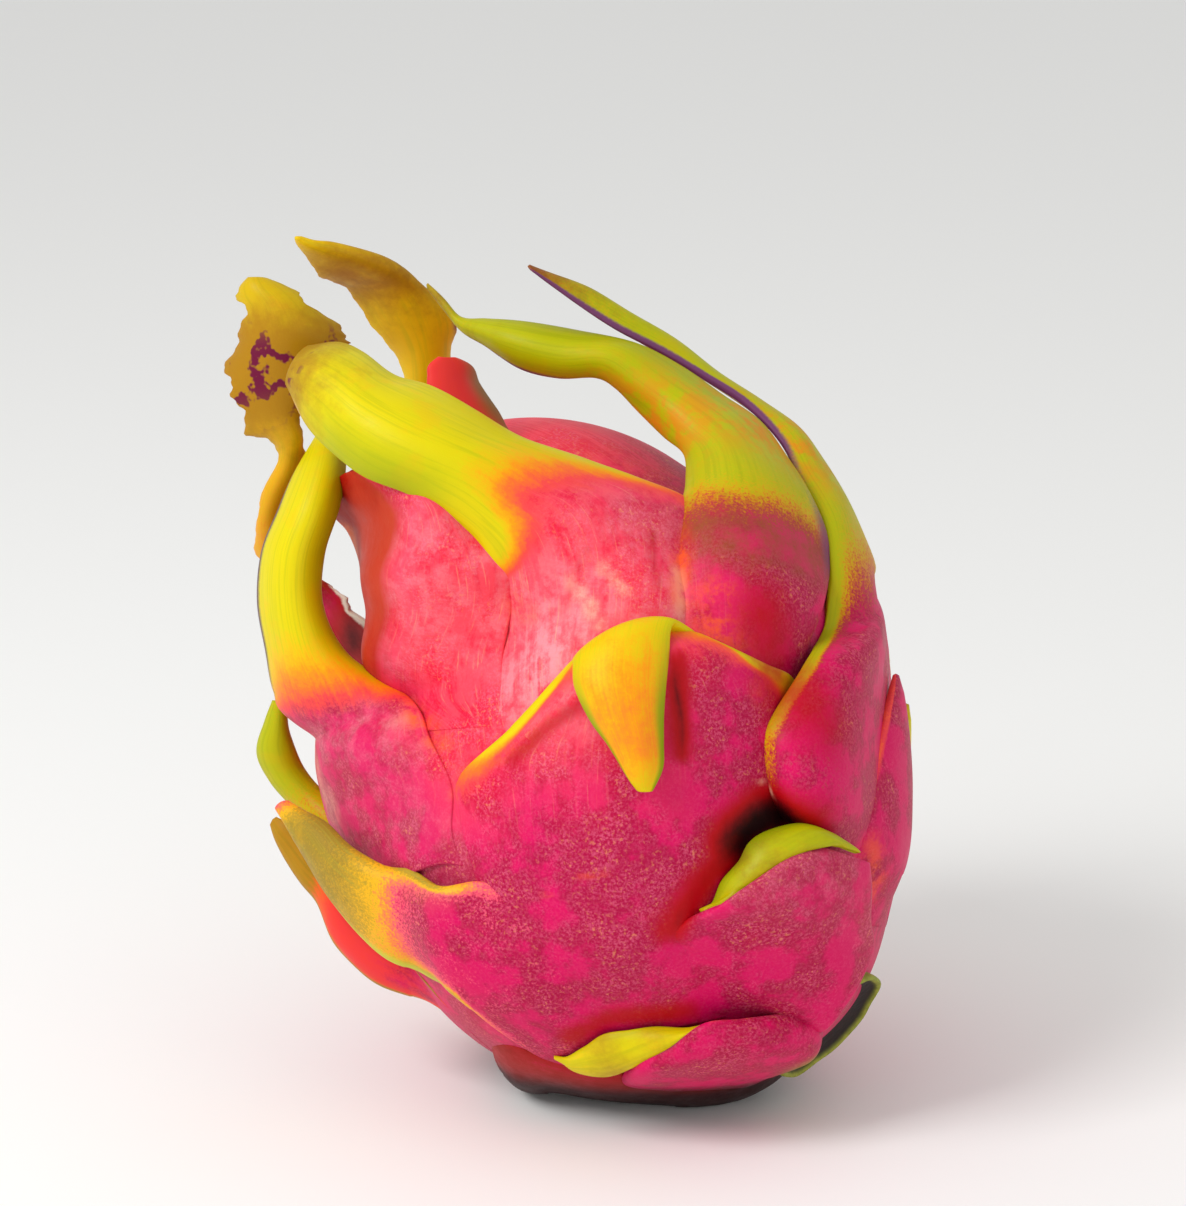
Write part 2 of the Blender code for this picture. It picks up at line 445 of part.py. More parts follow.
def principled(name, colour, roughness):
    """Plain Principled material."""
    material = bpy.data.materials.new(name)
    material.use_nodes = True
    shader = material.node_tree.nodes["Principled BSDF"]
    shader.inputs["Base Color"].default_value = colour
    shader.inputs["Roughness"].default_value = roughness
    return material


def new_collection(name):
    """Collection linked to the scene."""
    collection = bpy.data.collections.new(name)
    bpy.context.scene.collection.children.link(collection)
    return collection


def as_cutter(thing):
    """Keep a cutter out of the model: wire in the viewport, never rendered."""
    thing.hide_render = True
    thing.display_type = "WIRE"
    return thing


def boolean(thing, operation, other, solver="EXACT"):
    """Boolean modifier with one object or with a whole collection."""
    modifier = thing.modifiers.new(operation.lower(), "BOOLEAN")
    modifier.operation = operation
    modifier.solver = solver
    if isinstance(other, bpy.types.Collection):
        modifier.operand_type = "COLLECTION"
        modifier.collection = other
    else:
        modifier.object = other
    return modifier


def apply_modifiers(thing):
    """Replace the object's mesh by its evaluated one."""
    depsgraph = bpy.context.evaluated_depsgraph_get()
    mesh = bpy.data.meshes.new_from_object(thing.evaluated_get(depsgraph))
    thing.modifiers.clear()
    thing.data = mesh


def keep_largest_shell(mesh):
    """Delete loose scraps and the shells of sealed hollows, and keep the outer body."""
    bm = bmesh.new()
    bm.from_mesh(mesh)
    left = set(bm.verts)
    shells = []
    while left:
        stack = [left.pop()]
        shell = []
        while stack:
            vert = stack.pop()
            shell.append(vert)
            for edge in vert.link_edges:
                other = edge.other_vert(vert)
                if other in left:
                    left.remove(other)
                    stack.append(other)
        shells.append(shell)
    shells.sort(key=len)
    for shell in shells[:-1]:
        bmesh.ops.delete(bm, geom=shell, context="VERTS")
    bmesh.ops.triangulate(bm, faces=bm.faces[:])
    bm.to_mesh(mesh)
    bm.free()


def turned_cone(name, root_radius, cut_radius, length, place, collection):
    """Cone frustum on the stem's line, its wide end outwards."""
    bm = bmesh.new()
    bmesh.ops.create_cone(
        bm, cap_ends=True, segments=STEM_SIDES, radius1=root_radius * MM, radius2=cut_radius * MM,
        depth=length * MM)
    mesh = bpy.data.meshes.new(name)
    bm.to_mesh(mesh)
    bm.free()
    thing = bpy.data.objects.new(name, mesh)
    thing.location = place * MM
    way = unit(STEM_WAY)
    thing.rotation_euler = (0.0, math.acos(way[2]), math.atan2(way[1], way[0]))
    collection.objects.link(thing)
    return thing


def make_fruit(model, cutters):
    """Flesh and scales in one body, cut flat underneath, with its dimple and stem recess."""
    fruit = ball_object("fruit", BODY_AROUND, BODY_ALONG, flesh_shape, model)
    scales = new_collection("scales")
    for name, rails in scale_routes().items():
        broad = np.linalg.norm(rails[2] - rails[0], axis=1).max() > BROAD_FROM
        sides = BROAD_SIDES if broad else SLIM_SIDES
        rings = round(len(rails[1]) * RINGS_PER_KNOT)
        ball_object(name, sides, rings, lambda u, turn, r=rails: blade_points(r, u, turn), scales)
    boolean(fruit, "UNION", scales, "MANIFOLD")
    apply_modifiers(fruit)
    for scale in list(scales.objects):
        bpy.data.objects.remove(scale)
    bpy.data.collections.remove(scales)
    keep_largest_shell(fruit.data)

    half = FLOOR_BLOCK / 2
    bpy.ops.mesh.primitive_cube_add(size=FLOOR_BLOCK * MM, location=(0.0, 0.0, -half * MM))
    floor_cutter = as_cutter(bpy.context.object)
    floor_cutter.name = "floor_cutter"
    bpy.ops.mesh.primitive_uv_sphere_add(
        segments=16, ring_count=10, radius=DIMPLE_RADIUS * MM,
        location=(CENTRE + (HALF_LENGTH + DIMPLE_OUT) * AXIS) * MM)
    dimple_cutter = as_cutter(bpy.context.object)
    dimple_cutter.name = "dimple_cutter"
    recess_cutter = as_cutter(turned_cone(
        "recess_cutter", STEM_ROOT_RADIUS + STEM_GAP, STEM_CUT_RADIUS + STEM_GAP,
        STEM_LENGTH + 2 * STEM_GAP, STEM_PLACE, cutters))
    for cutter in (floor_cutter, dimple_cutter):
        for collection in list(cutter.users_collection):
            collection.objects.unlink(cutter)
        cutters.objects.link(cutter)
    for cutter in (floor_cutter, dimple_cutter, recess_cutter):
        boolean(fruit, "DIFFERENCE", cutter)
    fruit.data.materials.append(principled("rind", RIND_COLOUR, 0.4))
    fruit.data.shade_smooth()
    return fruit


def make_stem(model, cutters):
    """Short cut stem end with a shallow dished pith, standing in the recess with a gap."""
    stem = turned_cone(
        "stem_stub", STEM_ROOT_RADIUS, STEM_CUT_RADIUS, STEM_LENGTH, STEM_PLACE, model)
    face = STEM_PLACE + unit(STEM_WAY) * (STEM_LENGTH / 2)
    pith_cutter = as_cutter(turned_cone(
        "pith_cutter", PITH_RADIUS, PITH_RADIUS, 2 * PITH_DEPTH, face, cutters))
    boolean(stem, "DIFFERENCE", pith_cutter)
    stem.data.materials.append(principled("stem", STEM_COLOUR, 0.7))
    return stem


def main():
    """Build the fruit in an emptied scene."""
    for thing in list(bpy.data.objects):
        bpy.data.objects.remove(thing)
    model = new_collection("dragon_fruit")
    cutters = new_collection("cutters")
    make_fruit(model, cutters)
    make_stem(model, cutters)


main()
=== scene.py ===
import math

import bpy
import numpy as np
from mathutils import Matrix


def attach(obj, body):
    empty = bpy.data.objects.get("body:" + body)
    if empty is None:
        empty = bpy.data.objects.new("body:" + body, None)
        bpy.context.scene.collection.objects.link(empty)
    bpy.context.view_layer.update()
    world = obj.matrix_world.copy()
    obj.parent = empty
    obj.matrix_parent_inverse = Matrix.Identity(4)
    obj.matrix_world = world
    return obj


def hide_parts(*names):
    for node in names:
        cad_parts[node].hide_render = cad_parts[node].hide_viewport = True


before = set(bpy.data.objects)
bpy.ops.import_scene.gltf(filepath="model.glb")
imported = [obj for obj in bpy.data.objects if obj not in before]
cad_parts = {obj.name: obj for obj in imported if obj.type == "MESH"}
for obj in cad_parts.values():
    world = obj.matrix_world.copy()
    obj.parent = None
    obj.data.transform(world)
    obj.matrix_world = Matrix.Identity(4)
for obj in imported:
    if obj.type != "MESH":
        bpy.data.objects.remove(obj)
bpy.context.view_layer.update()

# The flesh: one egg of pulp under a leathery skin, leaning back and to the left as it lies. Skin and
# scales grew in one piece, so every scale below starts inside this skin and leaves it without a seam.
MM = 0.001
CENTRE = np.array((-3.5, 0.0, 54.0))
AXIS = np.array((-0.467, 0.424, 0.776))
HALF_LENGTH = 57.5
HALF_GIRTH = 45.0
FLOWER_END_SLIMMER = 0.26
SLIM_FROM_TO = 0.62
SWAY = 12.5
SKIN_RINGS = 150
SKIN_ROUND = 220
NAVEL_RADIUS = 6.0
NAVEL_DEPTH = 2.2


def unit(v):
    """Vectors scaled to length one."""
    return v / np.linalg.norm(v, axis=-1, keepdims=True)


AXIS = unit(AXIS)
FRONT = unit(np.array((0.0, -1.0, 0.0)) + AXIS[1] * AXIS)
SIDE = np.cross(AXIS, FRONT)


def smoothstep(low, high, x):
    """0 under low, 1 over high, and 3t^2 - 2t^3 between them."""
    t = np.clip((x - low) / (high - low), 0.0, 1.0)
    return t * t * (3.0 - 2.0 * t)


def slim(along):
    """Factor on the girth: 1 at the stem half, falling smoothly towards the flower end."""
    return 1.0 - FLOWER_END_SLIMMER * smoothstep(0.0, SLIM_FROM_TO, along)


def sway(along):
    """Sideways shift of the cross-sections, SWAY * a(1 - a^2), which leaves both ends in place."""
    return SWAY * along * (1.0 - along ** 2)


def skin_point(along, turn):
    """Point of the egg: the axis place, plus sway, plus a round radius slim * sqrt(1 - a^2) at the turn."""
    along = np.asarray(along, float)
    turn = np.asarray(turn, float)
    radial = np.cos(turn)[..., None] * FRONT + np.sin(turn)[..., None] * SIDE
    middle = CENTRE + (HALF_LENGTH * along)[..., None] * AXIS + sway(along)[..., None] * SIDE
    radius = HALF_GIRTH * slim(along) * np.sqrt(np.maximum(1.0 - along ** 2, 0.0))
    return middle + radius[..., None] * radial


def over_skin(points):
    """Height over the skin in mm and the way out: the egg's implicit form divided by its slope."""
    def level(p):
        q = p - CENTRE
        a = np.clip(q @ AXIS / HALF_LENGTH, -1.0, 1.0)
        side = q @ SIDE - sway(a)
        across = ((q @ FRONT) ** 2 + side ** 2) / (HALF_GIRTH * slim(a)) ** 2
        return across + (q @ AXIS / HALF_LENGTH) ** 2 - 1.0

    step = 0.02
    slope = np.stack([(level(points + step * e) - level(points - step * e)) / (2 * step)
                      for e in np.eye(3)], -1)
    size = np.linalg.norm(slope, axis=-1) + 1e-9
    return level(points) / size, slope / size[..., None]


def drift(points):
    """Uneven growth: sine waves some centimetres long move the whole fruit, and fade at the floor."""
    x, y, z = np.moveaxis(points / 19.0, -1, 0)
    wave = np.stack([np.sin(1.3 * y + 0.7 * z + 0.5), np.sin(1.1 * z - 0.9 * x + 2.1),
                     np.sin(1.2 * x + 0.8 * y + 4.0)], -1)
    return points + 0.45 * smoothstep(2.0, 14.0, points[..., 2])[..., None] * wave


def closed_mesh(name, grid, layers):
    """Mesh of a grid (rows along, columns round): the first and last rows close in a pole each.

    layers maps an attribute's name to its three values at each grid point. Nothing reaches under
    the floor: the fruit's own weight pressed its lowest spot flat.
    """
    rows, cols = grid.shape[:2]
    inner = grid[1:-1].reshape(-1, 3)
    points = np.concatenate([grid[:1].mean(1), inner, grid[-1:].mean(1)])
    points[:, 2] = np.maximum(points[:, 2], 0.0)
    i = np.arange(rows - 3)[:, None]
    j = np.arange(cols)[None, :]
    k = (j + 1) % cols
    quads = np.stack([1 + i * cols + j, 1 + i * cols + k, 1 + (i + 1) * cols + k, 1 + (i + 1) * cols + j], -1)
    j, k = j[0], k[0]
    last = len(points) - 1
    foot = np.stack([0 * j, 1 + k, 1 + j], -1)
    top = np.stack([0 * j + last, last - cols + j, last - cols + k], -1)
    mesh = bpy.data.meshes.new(name)
    mesh.from_pydata((points * MM).tolist(), [], quads.reshape(-1, 4).tolist() + foot.tolist() + top.tolist())
    for label, values in layers.items():
        full = np.concatenate([values[:1].mean(1), values[1:-1].reshape(-1, 3), values[-1:].mean(1)])
        layer = mesh.attributes.new(label, "FLOAT_VECTOR", "POINT")
        layer.data.foreach_set("vector", full.astype(np.float32).ravel())
    mesh.shade_smooth()
    mesh.update()
    piece = bpy.data.objects.new(name, mesh)
    bpy.context.scene.collection.objects.link(piece)
    return piece


def linear(code):
    """Linear RGBA of an sRGB hex colour."""
    parts = np.array([int(code[k:k + 2], 16) for k in (1, 3, 5)]) / 255.0
    bright = np.where(parts <= 0.04045, parts / 12.92, ((parts + 0.055) / 1.055) ** 2.4)
    return (*bright.tolist(), 1.0)


def add(tree, kind, inputs=None, **settings):
    """One node with its settings; inputs maps a socket to its value or to the socket that feeds it."""
    item = tree.nodes.new(kind)
    for key, value in settings.items():
        setattr(item, key, value)
    for key, value in (inputs or {}).items():
        if isinstance(value, bpy.types.NodeSocket):
            tree.links.new(value, item.inputs[key])
        else:
            item.inputs[key].default_value = value
    return item


# Dragon fruit rind: a waxy leathery skin, satin, with pale specks of half a millimetre. It is salmon on the
# upper left and on top, partly its own sun-ripened colour and partly painted light from the key lamp's side,
# and magenta elsewhere, and along a scale it turns through orange to yellow and green.
SALMON = "#f84458"
SUN_AND_LIGHT_DEEP = "#ee0838"
MAGENTA = "#d4005a"
MAGENTA_DEEP = "#ac0040"
FROST = "#ee6c90"
TAN_FLECK = "#f0a060"
BLOOM_AND_HIGHLIGHT = "#f8a8b0"
FLUSH = "#f6601c"
CRIMSON = "#b4000e"
POCKET_SHADE_BLACK = "#1c0003"
PAINTED_UNDERSIDE_SHADE = "#1e0206"
SCAR = "#f2bc9e"
CLOUD_MM = 20.0
STREAK_ACROSS_MM = 1.3
STREAK_ALONG_MM = 24.0

# Marks on the skin, each a path in millimetres and how far round it the mark reaches. Dark ones are
# painted shade in deep folds, pockets and grooves and on faces turned from the light, over the skin's
# own deeper crimson; flushed ones turn early, and pale ones are dry, worn or scarred.
SHADE_AND_CRIMSON_MARKS = (
    (((14.0, -45.0, 52.0), (17.5, -43.0, 54.5), (23.0, -40.0, 55.0)), 9.5, 1.0),
    (((4.5, -48.5, 39.5), (7.5, -48.0, 44.5), (11.5, -46.0, 50.0)), 5.6, 0.72),
    (((4.5, -45.5, 79.5), (5.0, -46.5, 74.0), (5.5, -47.0, 66.0)), 3.4, 0.8),
    (((-9.5, -47.5, 73.0), (-14.0, -46.0, 69.5), (-19.5, -44.0, 63.5)), 2.6, 0.42),
    (((-10.5, -41.0, 18.5), (-3.5, -44.5, 23.0), (7.0, -44.5, 24.0)), 4.6, 0.5),
    (((-48.0, -18.0, 56.0), (-44.0, -23.0, 56.5)), 3.4, 0.3),
    (((18.0, -33.0, 84.0), (21.0, -37.0, 76.0), (25.0, -38.0, 68.0)), 11.0, 0.46),
    (((-0.5, -16.5, 99.5), (1.0, -29.5, 94.5), (2.0, -36.0, 88.5)), 1.8, 0.4),
    (((6.0, -21.5, 95.5), (7.0, -28.0, 91.0)), 1.8, 0.4),
    (((-9.0, -33.0, 93.0), (-13.0, -38.0, 84.0)), 2.2, 0.3),
    (((21.0, -42.0, 58.0), (26.0, -38.0, 60.0)), 6.0, 0.35),
    (((-52.0, 6.0, 60.0), (-46.0, 3.0, 70.0), (-43.0, 1.0, 78.0)), 9.0, 0.8),
)
FLUSHED_MARKS = (
    (((-42.5, -10.5, 64.0), (-37.0, -22.0, 65.5), (-34.0, -29.5, 65.5), (-30.5, -35.5, 62.5)), 3.2, 0.9),
    (((-22.5, -27.0, 87.0), (-17.5, -33.0, 83.0)), 3.4, 0.5),
    (((7.5, -22.5, 94.5), (5.5, -29.0, 90.5), (4.5, -33.5, 86.0)), 3.4, 0.9),
    (((-12.5, -46.0, 71.5), (-17.0, -44.5, 66.5), (-24.0, -41.0, 61.5)), 1.8, 0.7),
    (((-9.0, -50.0, 47.5), (-5.5, -50.5, 48.0)), 1.0, 0.9),
    (((-15.5, -49.0, 43.0), (-14.0, -49.0, 44.0)), 0.9, 0.9),
    (((3.0, -49.5, 41.5), (3.0, -49.5, 43.5)), 1.2, 0.9),
    (((8.0, -47.5, 24.0), (12.0, -46.5, 24.5), (16.5, -44.5, 24.0)), 1.3, 1.0),
    (((-26.0, -39.5, 61.0), (-29.0, -38.5, 57.5)), 3.0, 0.5),
    (((35.0, -29.5, 46.5), (37.0, -28.0, 38.5)), 4.0, 0.6),
    (((-4.0, -6.0, 108.0), (14.0, -4.0, 106.0), (24.0, 0.0, 103.0)), 15.0, 0.55),
    (((11.0, -33.0, 86.0), (10.0, -36.0, 79.0)), 5.5, 0.9),
    (((14.0, -36.0, 80.0), (16.0, -38.0, 73.0)), 4.0, 0.6),
)
PALE_MARKS = (
    (((-20.0, -20.5, 97.0), (-15.0, -30.0, 92.5), (-8.0, -38.0, 85.5), (-7.0, -39.0, 83.0)), 1.5, 1.0),
    (((-18.0, -22.0, 96.0), (-10.0, -31.0, 94.0), (-3.0, -37.5, 88.0)), 1.4, 0.7),
    (((-25.0, -19.0, 89.0), (-22.5, -25.5, 84.0)), 0.8, 0.5),
    (((4.5, -31.0, 89.5), (5.5, -36.5, 83.5)), 2.0, 0.45),
    (((-49.0, -15.0, 58.5), (-43.0, -22.0, 60.5), (-37.0, -26.0, 64.0)), 2.6, 0.6),
    (((-50.5, -19.0, 107.0), (-53.0, -15.5, 112.5)), 1.8, 0.8),
    (((26.0, -37.0, 50.5), (31.0, -33.0, 48.0)), 1.2, 0.7),
    (((-44.0, -26.0, 27.5), (-38.0, -28.0, 23.5), (-30.0, -32.0, 22.0)), 1.5, 0.6),
    (((18.0, -42.0, 60.5), (20.5, -41.5, 57.5)), 0.6, 0.9),
    (((-52.0, -6.0, 62.0), (-50.5, -12.0, 54.0), (-48.5, -14.0, 47.0)), 4.0, 0.7),
)
# Centre and reach of the salmon side: partly the fruit's own sun-ripened colour, partly painted light where
# the key lamp falls from the upper left.
SUN_AND_LIGHT_SPOT = (-20.0, -36.0, 84.0)
SUN_AND_LIGHT_REACH = 44.0
# A painted highlight: a soft pale spot on the lit front, laid on in the bloom's colour.
PAINTED_HIGHLIGHT_SPOT = (-13.0, -41.0, 77.0)
PAINTED_HIGHLIGHT_REACH = 19.0


def near(points, marks):
    """How much a point belongs to the marks: a smooth fall from each one's path to its reach."""
    total = np.zeros(points.shape[:-1])
    for path, reach, strength in marks:
        path = np.array(path)
        for a, b in zip(path[:-1], path[1:]):
            t = np.clip(((points - a) @ (b - a)) / ((b - a) @ (b - a)), 0.0, 1.0)
            distance = np.linalg.norm(points - a - t[..., None] * (b - a), axis=-1)
            total = np.maximum(total, strength * smoothstep(reach, 0.0, distance))
    return total


def tones(points):
    """Attributes that follow the place on the fruit: the salmon side, partly painted light, a painted
    highlight, painted shade next to the floor, and the three marks.
    """
    sun_and_lit_side = smoothstep(SUN_AND_LIGHT_REACH, 6.0, np.linalg.norm(points - np.array(SUN_AND_LIGHT_SPOT), axis=-1))
    painted_highlight = smoothstep(PAINTED_HIGHLIGHT_REACH, 2.0, np.linalg.norm(points - np.array(PAINTED_HIGHLIGHT_SPOT), axis=-1))
    marks = np.stack([near(points, SHADE_AND_CRIMSON_MARKS), near(points, FLUSHED_MARKS), near(points, PALE_MARKS)], -1)
    # The top of the fruit joins the salmon side: partly its own colour, partly painted light falling from
    # above.
    sun_and_lit_side = np.maximum(sun_and_lit_side, 0.85 * smoothstep(94.0, 105.0, points[..., 2]))
    # The third tone is painted shade: it darkens the lowest few millimetres, next to the floor.
    return np.stack([sun_and_lit_side, painted_highlight, smoothstep(10.0, 4.5, points[..., 2])], -1), marks


def rind(name, strap, green="#8fa004", dry="#a97f14", rim="#5d4450", inner="#b01824", blotch="#6e1436",
         speckle=0.14):
    """Rind material. strap holds (place, colour) stops from the first orange to the ripe strap.

    speckle is how much the grain breaks up the border between skin and ripe strap.
    """
    material = bpy.data.materials.new(name)
    material.use_nodes = True
    tree = material.node_tree
    shader = tree.nodes["Principled BSDF"]
    place = add(tree, "ShaderNodeTexCoord").outputs["Object"]
    lay = add(tree, "ShaderNodeAttribute", attribute_name="lay").outputs["Vector"]

    def channels(label):
        return add(tree, "ShaderNodeSeparateXYZ", {0: add(
            tree, "ShaderNodeAttribute", attribute_name=label).outputs["Vector"]}).outputs

    ripe, aged, bloom = channels("paint")
    edge, greening, inside = channels("trim")
    sun_and_lit_side, painted_highlight, bottom = channels("tone")
    shaded, flushed, worn = channels("mark")

    def noise(feature_mm, detail, rough=0.55, vector=place):
        return add(tree, "ShaderNodeTexNoise", {"Vector": vector, "Scale": 1.0 / (feature_mm * MM),
                                                "Detail": detail, "Roughness": rough}).outputs["Fac"]

    def between(value, low, high, bottom=0.0, top=1.0):
        return add(tree, "ShaderNodeMapRange", {0: value, 1: low, 2: high, 3: bottom, 4: top},
                   interpolation_type="SMOOTHSTEP").outputs[0]

    def sums(operation, a, b, c=0.0):
        return add(tree, "ShaderNodeMath", {0: a, 1: b, 2: c}, operation=operation).outputs[0]

    def mix(factor, a, b, blend="MIX"):
        a, b = (linear(value) if isinstance(value, str) else value for value in (a, b))
        inputs = {0: factor, 6: a, 7: b}
        return add(tree, "ShaderNodeMix", inputs, data_type="RGBA", blend_type=blend).outputs[2]

    def stripes(across_mm, along_mm):
        return add(tree, "ShaderNodeTexNoise", {"Scale": 1.0, "Detail": 4.0, "Roughness": 0.6, "Vector": add(
            tree, "ShaderNodeMapping", {
                "Vector": lay, "Scale": (1.0 / across_mm, 1.0 / along_mm, 1.0)}).outputs[0],
        }).outputs["Fac"]

    streak = stripes(STREAK_ACROSS_MM, STREAK_ALONG_MM)
    fibre = stripes(0.45, 9.0)
    cloud = noise(CLOUD_MM, 5.0, 0.55)
    bank = noise(8.0, 4.0, 0.6)
    patch = noise(3.6, 5.0, 0.7)
    grain = noise(0.42, 2.0, 0.7)

    # Salmon on the sun-ripened and lit upper left, magenta elsewhere: the lit part of this is painted light.
    ripeness = sums("MULTIPLY_ADD", cloud, 0.9, sums("SUBTRACT", sun_and_lit_side, 0.45))
    light = mix(between(ripeness, 0.0, 0.9), MAGENTA, SALMON)
    deep = mix(between(ripeness, 0.0, 0.9), MAGENTA_DEEP, SUN_AND_LIGHT_DEEP)
    lines = mix(sun_and_lit_side, bank, streak)
    mottled = sums("MULTIPLY_ADD", lines, 0.6, sums("MULTIPLY", bank, 0.4))
    skin = mix(between(mottled, 0.42, 0.56), light, deep)
    frosted = sums("MULTIPLY", between(grain, 0.4, 0.66), between(sums(
        "MULTIPLY_ADD", patch, 0.45, sums("MULTIPLY", bank, 0.55)), 0.42, 0.64, 0.08, 0.45))
    skin = mix(frosted, skin, FROST)
    flecks = sums("MULTIPLY", between(noise(0.6, 2.0, 0.6), 0.54, 0.72), between(bank, 0.48, 0.66, 0.0, 0.42))
    skin = mix(flecks, skin, TAN_FLECK)
    # The waxy bloom, and round one spot on the lit front a painted highlight in the same pale pink.
    bloom_and_highlight = sums("MULTIPLY_ADD", painted_highlight, 0.42, bloom)
    hazy = sums("MULTIPLY_ADD", lines, 0.4, sums("MULTIPLY", patch, 0.6))
    bloom_and_highlight = sums("MULTIPLY", bloom_and_highlight, between(hazy, 0.4, 0.6, 0.1, 1.0))
    skin = mix(bloom_and_highlight, skin, BLOOM_AND_HIGHLIGHT)
    skin = mix(sums("MULTIPLY", sun_and_lit_side, between(fibre, 0.56, 0.72, 0.0, 0.3)), skin, "#fbb98a")

    turned = sums("MULTIPLY_ADD", cloud, 0.24, sums("SUBTRACT", ripe, 0.24))
    turned = sums("MULTIPLY_ADD", streak, 0.24, turned)
    turned = sums("MULTIPLY_ADD", patch, 0.34, sums("SUBTRACT", turned, 0.17))
    turned = sums("MULTIPLY_ADD", grain, speckle, sums("SUBTRACT", turned, speckle / 2))
    ramp = add(tree, "ShaderNodeValToRGB", {0: turned})
    while len(ramp.color_ramp.elements) < len(strap):
        ramp.color_ramp.elements.new(1.0)
    for stop, (where, colour) in zip(ramp.color_ramp.elements, strap):
        stop.position = where
        stop.color = linear(colour)
    ripest = mix(between(streak, 0.46, 0.66, 0.0, 0.25), ramp.outputs["Color"], green)
    ripest = mix(between(bank, 0.52, 0.66, 0.0, 0.45), ripest, strap[-2][1])
    ripest = mix(between(turned, 0.6, 0.9), ramp.outputs["Color"], ripest)
    colour = mix(between(turned, strap[0][0] - 0.2, strap[0][0] + 0.04), skin, ripest)
    greened = sums("MULTIPLY_ADD", cloud, 0.5, sums("SUBTRACT", greening, 0.25))
    colour = mix(between(greened, 0.1, 1.0), colour, green)
    dried = sums("MULTIPLY_ADD", patch, 0.7, sums("SUBTRACT", aged, 0.35))
    colour = mix(between(dried, 0.15, 0.85), colour, dry)
    spots = sums("MULTIPLY", between(noise(4.5, 3.0, 0.6), 0.56, 0.61), between(aged, 0.55, 0.9))
    colour = mix(spots, colour, blotch)
    colour = mix(inside, colour, mix(between(cloud, 0.35, 0.65), inner, skin, "MULTIPLY"))
    colour = mix(sums("MULTIPLY", flushed, between(patch, 0.38, 0.6)), colour, FLUSH)
    # Dark marks: painted shade, crimson at first and near-black in the deepest pockets, over the skin's own
    # deeper red.
    folded = sums("MULTIPLY_ADD", patch, 0.3, sums("SUBTRACT", shaded, 0.15))
    colour = mix(between(folded, 0.02, 0.6), colour, CRIMSON)
    colour = mix(between(folded, 0.5, 1.0), colour, POCKET_SHADE_BLACK)
    colour = mix(sums("MULTIPLY", worn, between(patch, 0.35, 0.6, 0.3, 1.0)), colour, SCAR)
    edged = sums("MULTIPLY_ADD", grain, 0.4, sums("SUBTRACT", edge, 0.2))
    colour = mix(between(edged, 0.2, 0.8), colour, rim)
    # Painted shade: the lowest few millimetres turn near-black next to the floor.
    colour = mix(sums("MULTIPLY", bottom, 0.95), colour, PAINTED_UNDERSIDE_SHADE)

    height = sums("MULTIPLY_ADD", streak, 0.3, sums("MULTIPLY_ADD", grain, 0.1, sums("MULTIPLY", patch, 0.4)))
    bump = add(tree, "ShaderNodeBump", {"Height": height, "Strength": 0.3, "Distance": 0.35 * MM}).outputs[0]
    tree.links.new(colour, shader.inputs["Base Color"])
    tree.links.new(between(patch, 0.3, 0.7, 0.4, 0.54), shader.inputs["Roughness"])
    tree.links.new(bump, shader.inputs["Normal"])
    shader.inputs["Specular IOR Level"].default_value = 0.15
    shader.inputs["Subsurface Weight"].default_value = 0.1
    shader.inputs["Subsurface Radius"].default_value = (1.0, 0.3, 0.2)
    shader.inputs["Subsurface Scale"].default_value = 1.6 * MM
    return material


YELLOW_STRAP = ((0.28, "#f24a46"), (0.42, "#f8742a"), (0.56, "#f59c0c"), (0.7, "#e8bc04"), (0.88, "#dccc00"))
yellow_rind = rind("rind_turning_yellow", YELLOW_STRAP)

polar = np.linspace(0.0, math.pi, SKIN_RINGS)[:, None]
around = np.linspace(0.0, 2.0 * math.pi, SKIN_ROUND, endpoint=False)[None, :]
egg = skin_point(-np.cos(polar) + 0.0 * around, around + 0.0 * polar)
from_pole = np.linalg.norm((egg - CENTRE) - ((egg - CENTRE) @ AXIS)[..., None] * AXIS, axis=-1)
navel = np.where(polar > math.pi / 2, np.clip(1.0 - (from_pole / NAVEL_RADIUS) ** 2, 0.0, 1.0) ** 2, 0.0)
egg = egg - (NAVEL_DEPTH * navel)[..., None] * AXIS
zero = 0.0 * navel
skin_paint = np.stack([zero, navel, zero + 0.08], -1)
skin_lay = np.stack([HALF_GIRTH * around + zero, HALF_LENGTH * polar + zero, zero], -1)
skin_tone, skin_mark = tones(egg)
skin = closed_mesh("skin", drift(egg), {
    "paint": skin_paint, "trim": 0.0 * skin_paint, "tone": skin_tone, "mark": skin_mark, "lay": skin_lay})
skin.data.materials.append(yellow_rind)
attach(skin, "root")
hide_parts("fruit")


# The front strap: the big scale of the upper left. Its salmon base is part of the fruit's front, and from
# there it narrows into a thick yellow strap that bends away to the left and rolls in at its cut end.
SEAT = 2.2
SINK = 0.15


def on(along_mm, degrees, lift):
    """Point at a place along the axis and an angle round it, lifted off the skin."""
    here = skin_point(along_mm / HALF_LENGTH, math.radians(degrees))
    return here + lift * over_skin(here)[1]


def root(along_mm, degrees, lift, half_width, cup, thick):
    """Knot of a slim scale on the skin: its place, the way its outer face looks, and its section."""
    here = skin_point(along_mm / HALF_LENGTH, math.radians(degrees))
    normal = over_skin(here)[1]
    return (here + lift * normal, normal, half_width, cup, thick)


def free(place, normal, half_width, cup, thick=1.8):
    """Knot of a slim scale in the open."""
    return (np.array(place, float), unit(np.array(normal, float)), half_width, cup, thick)


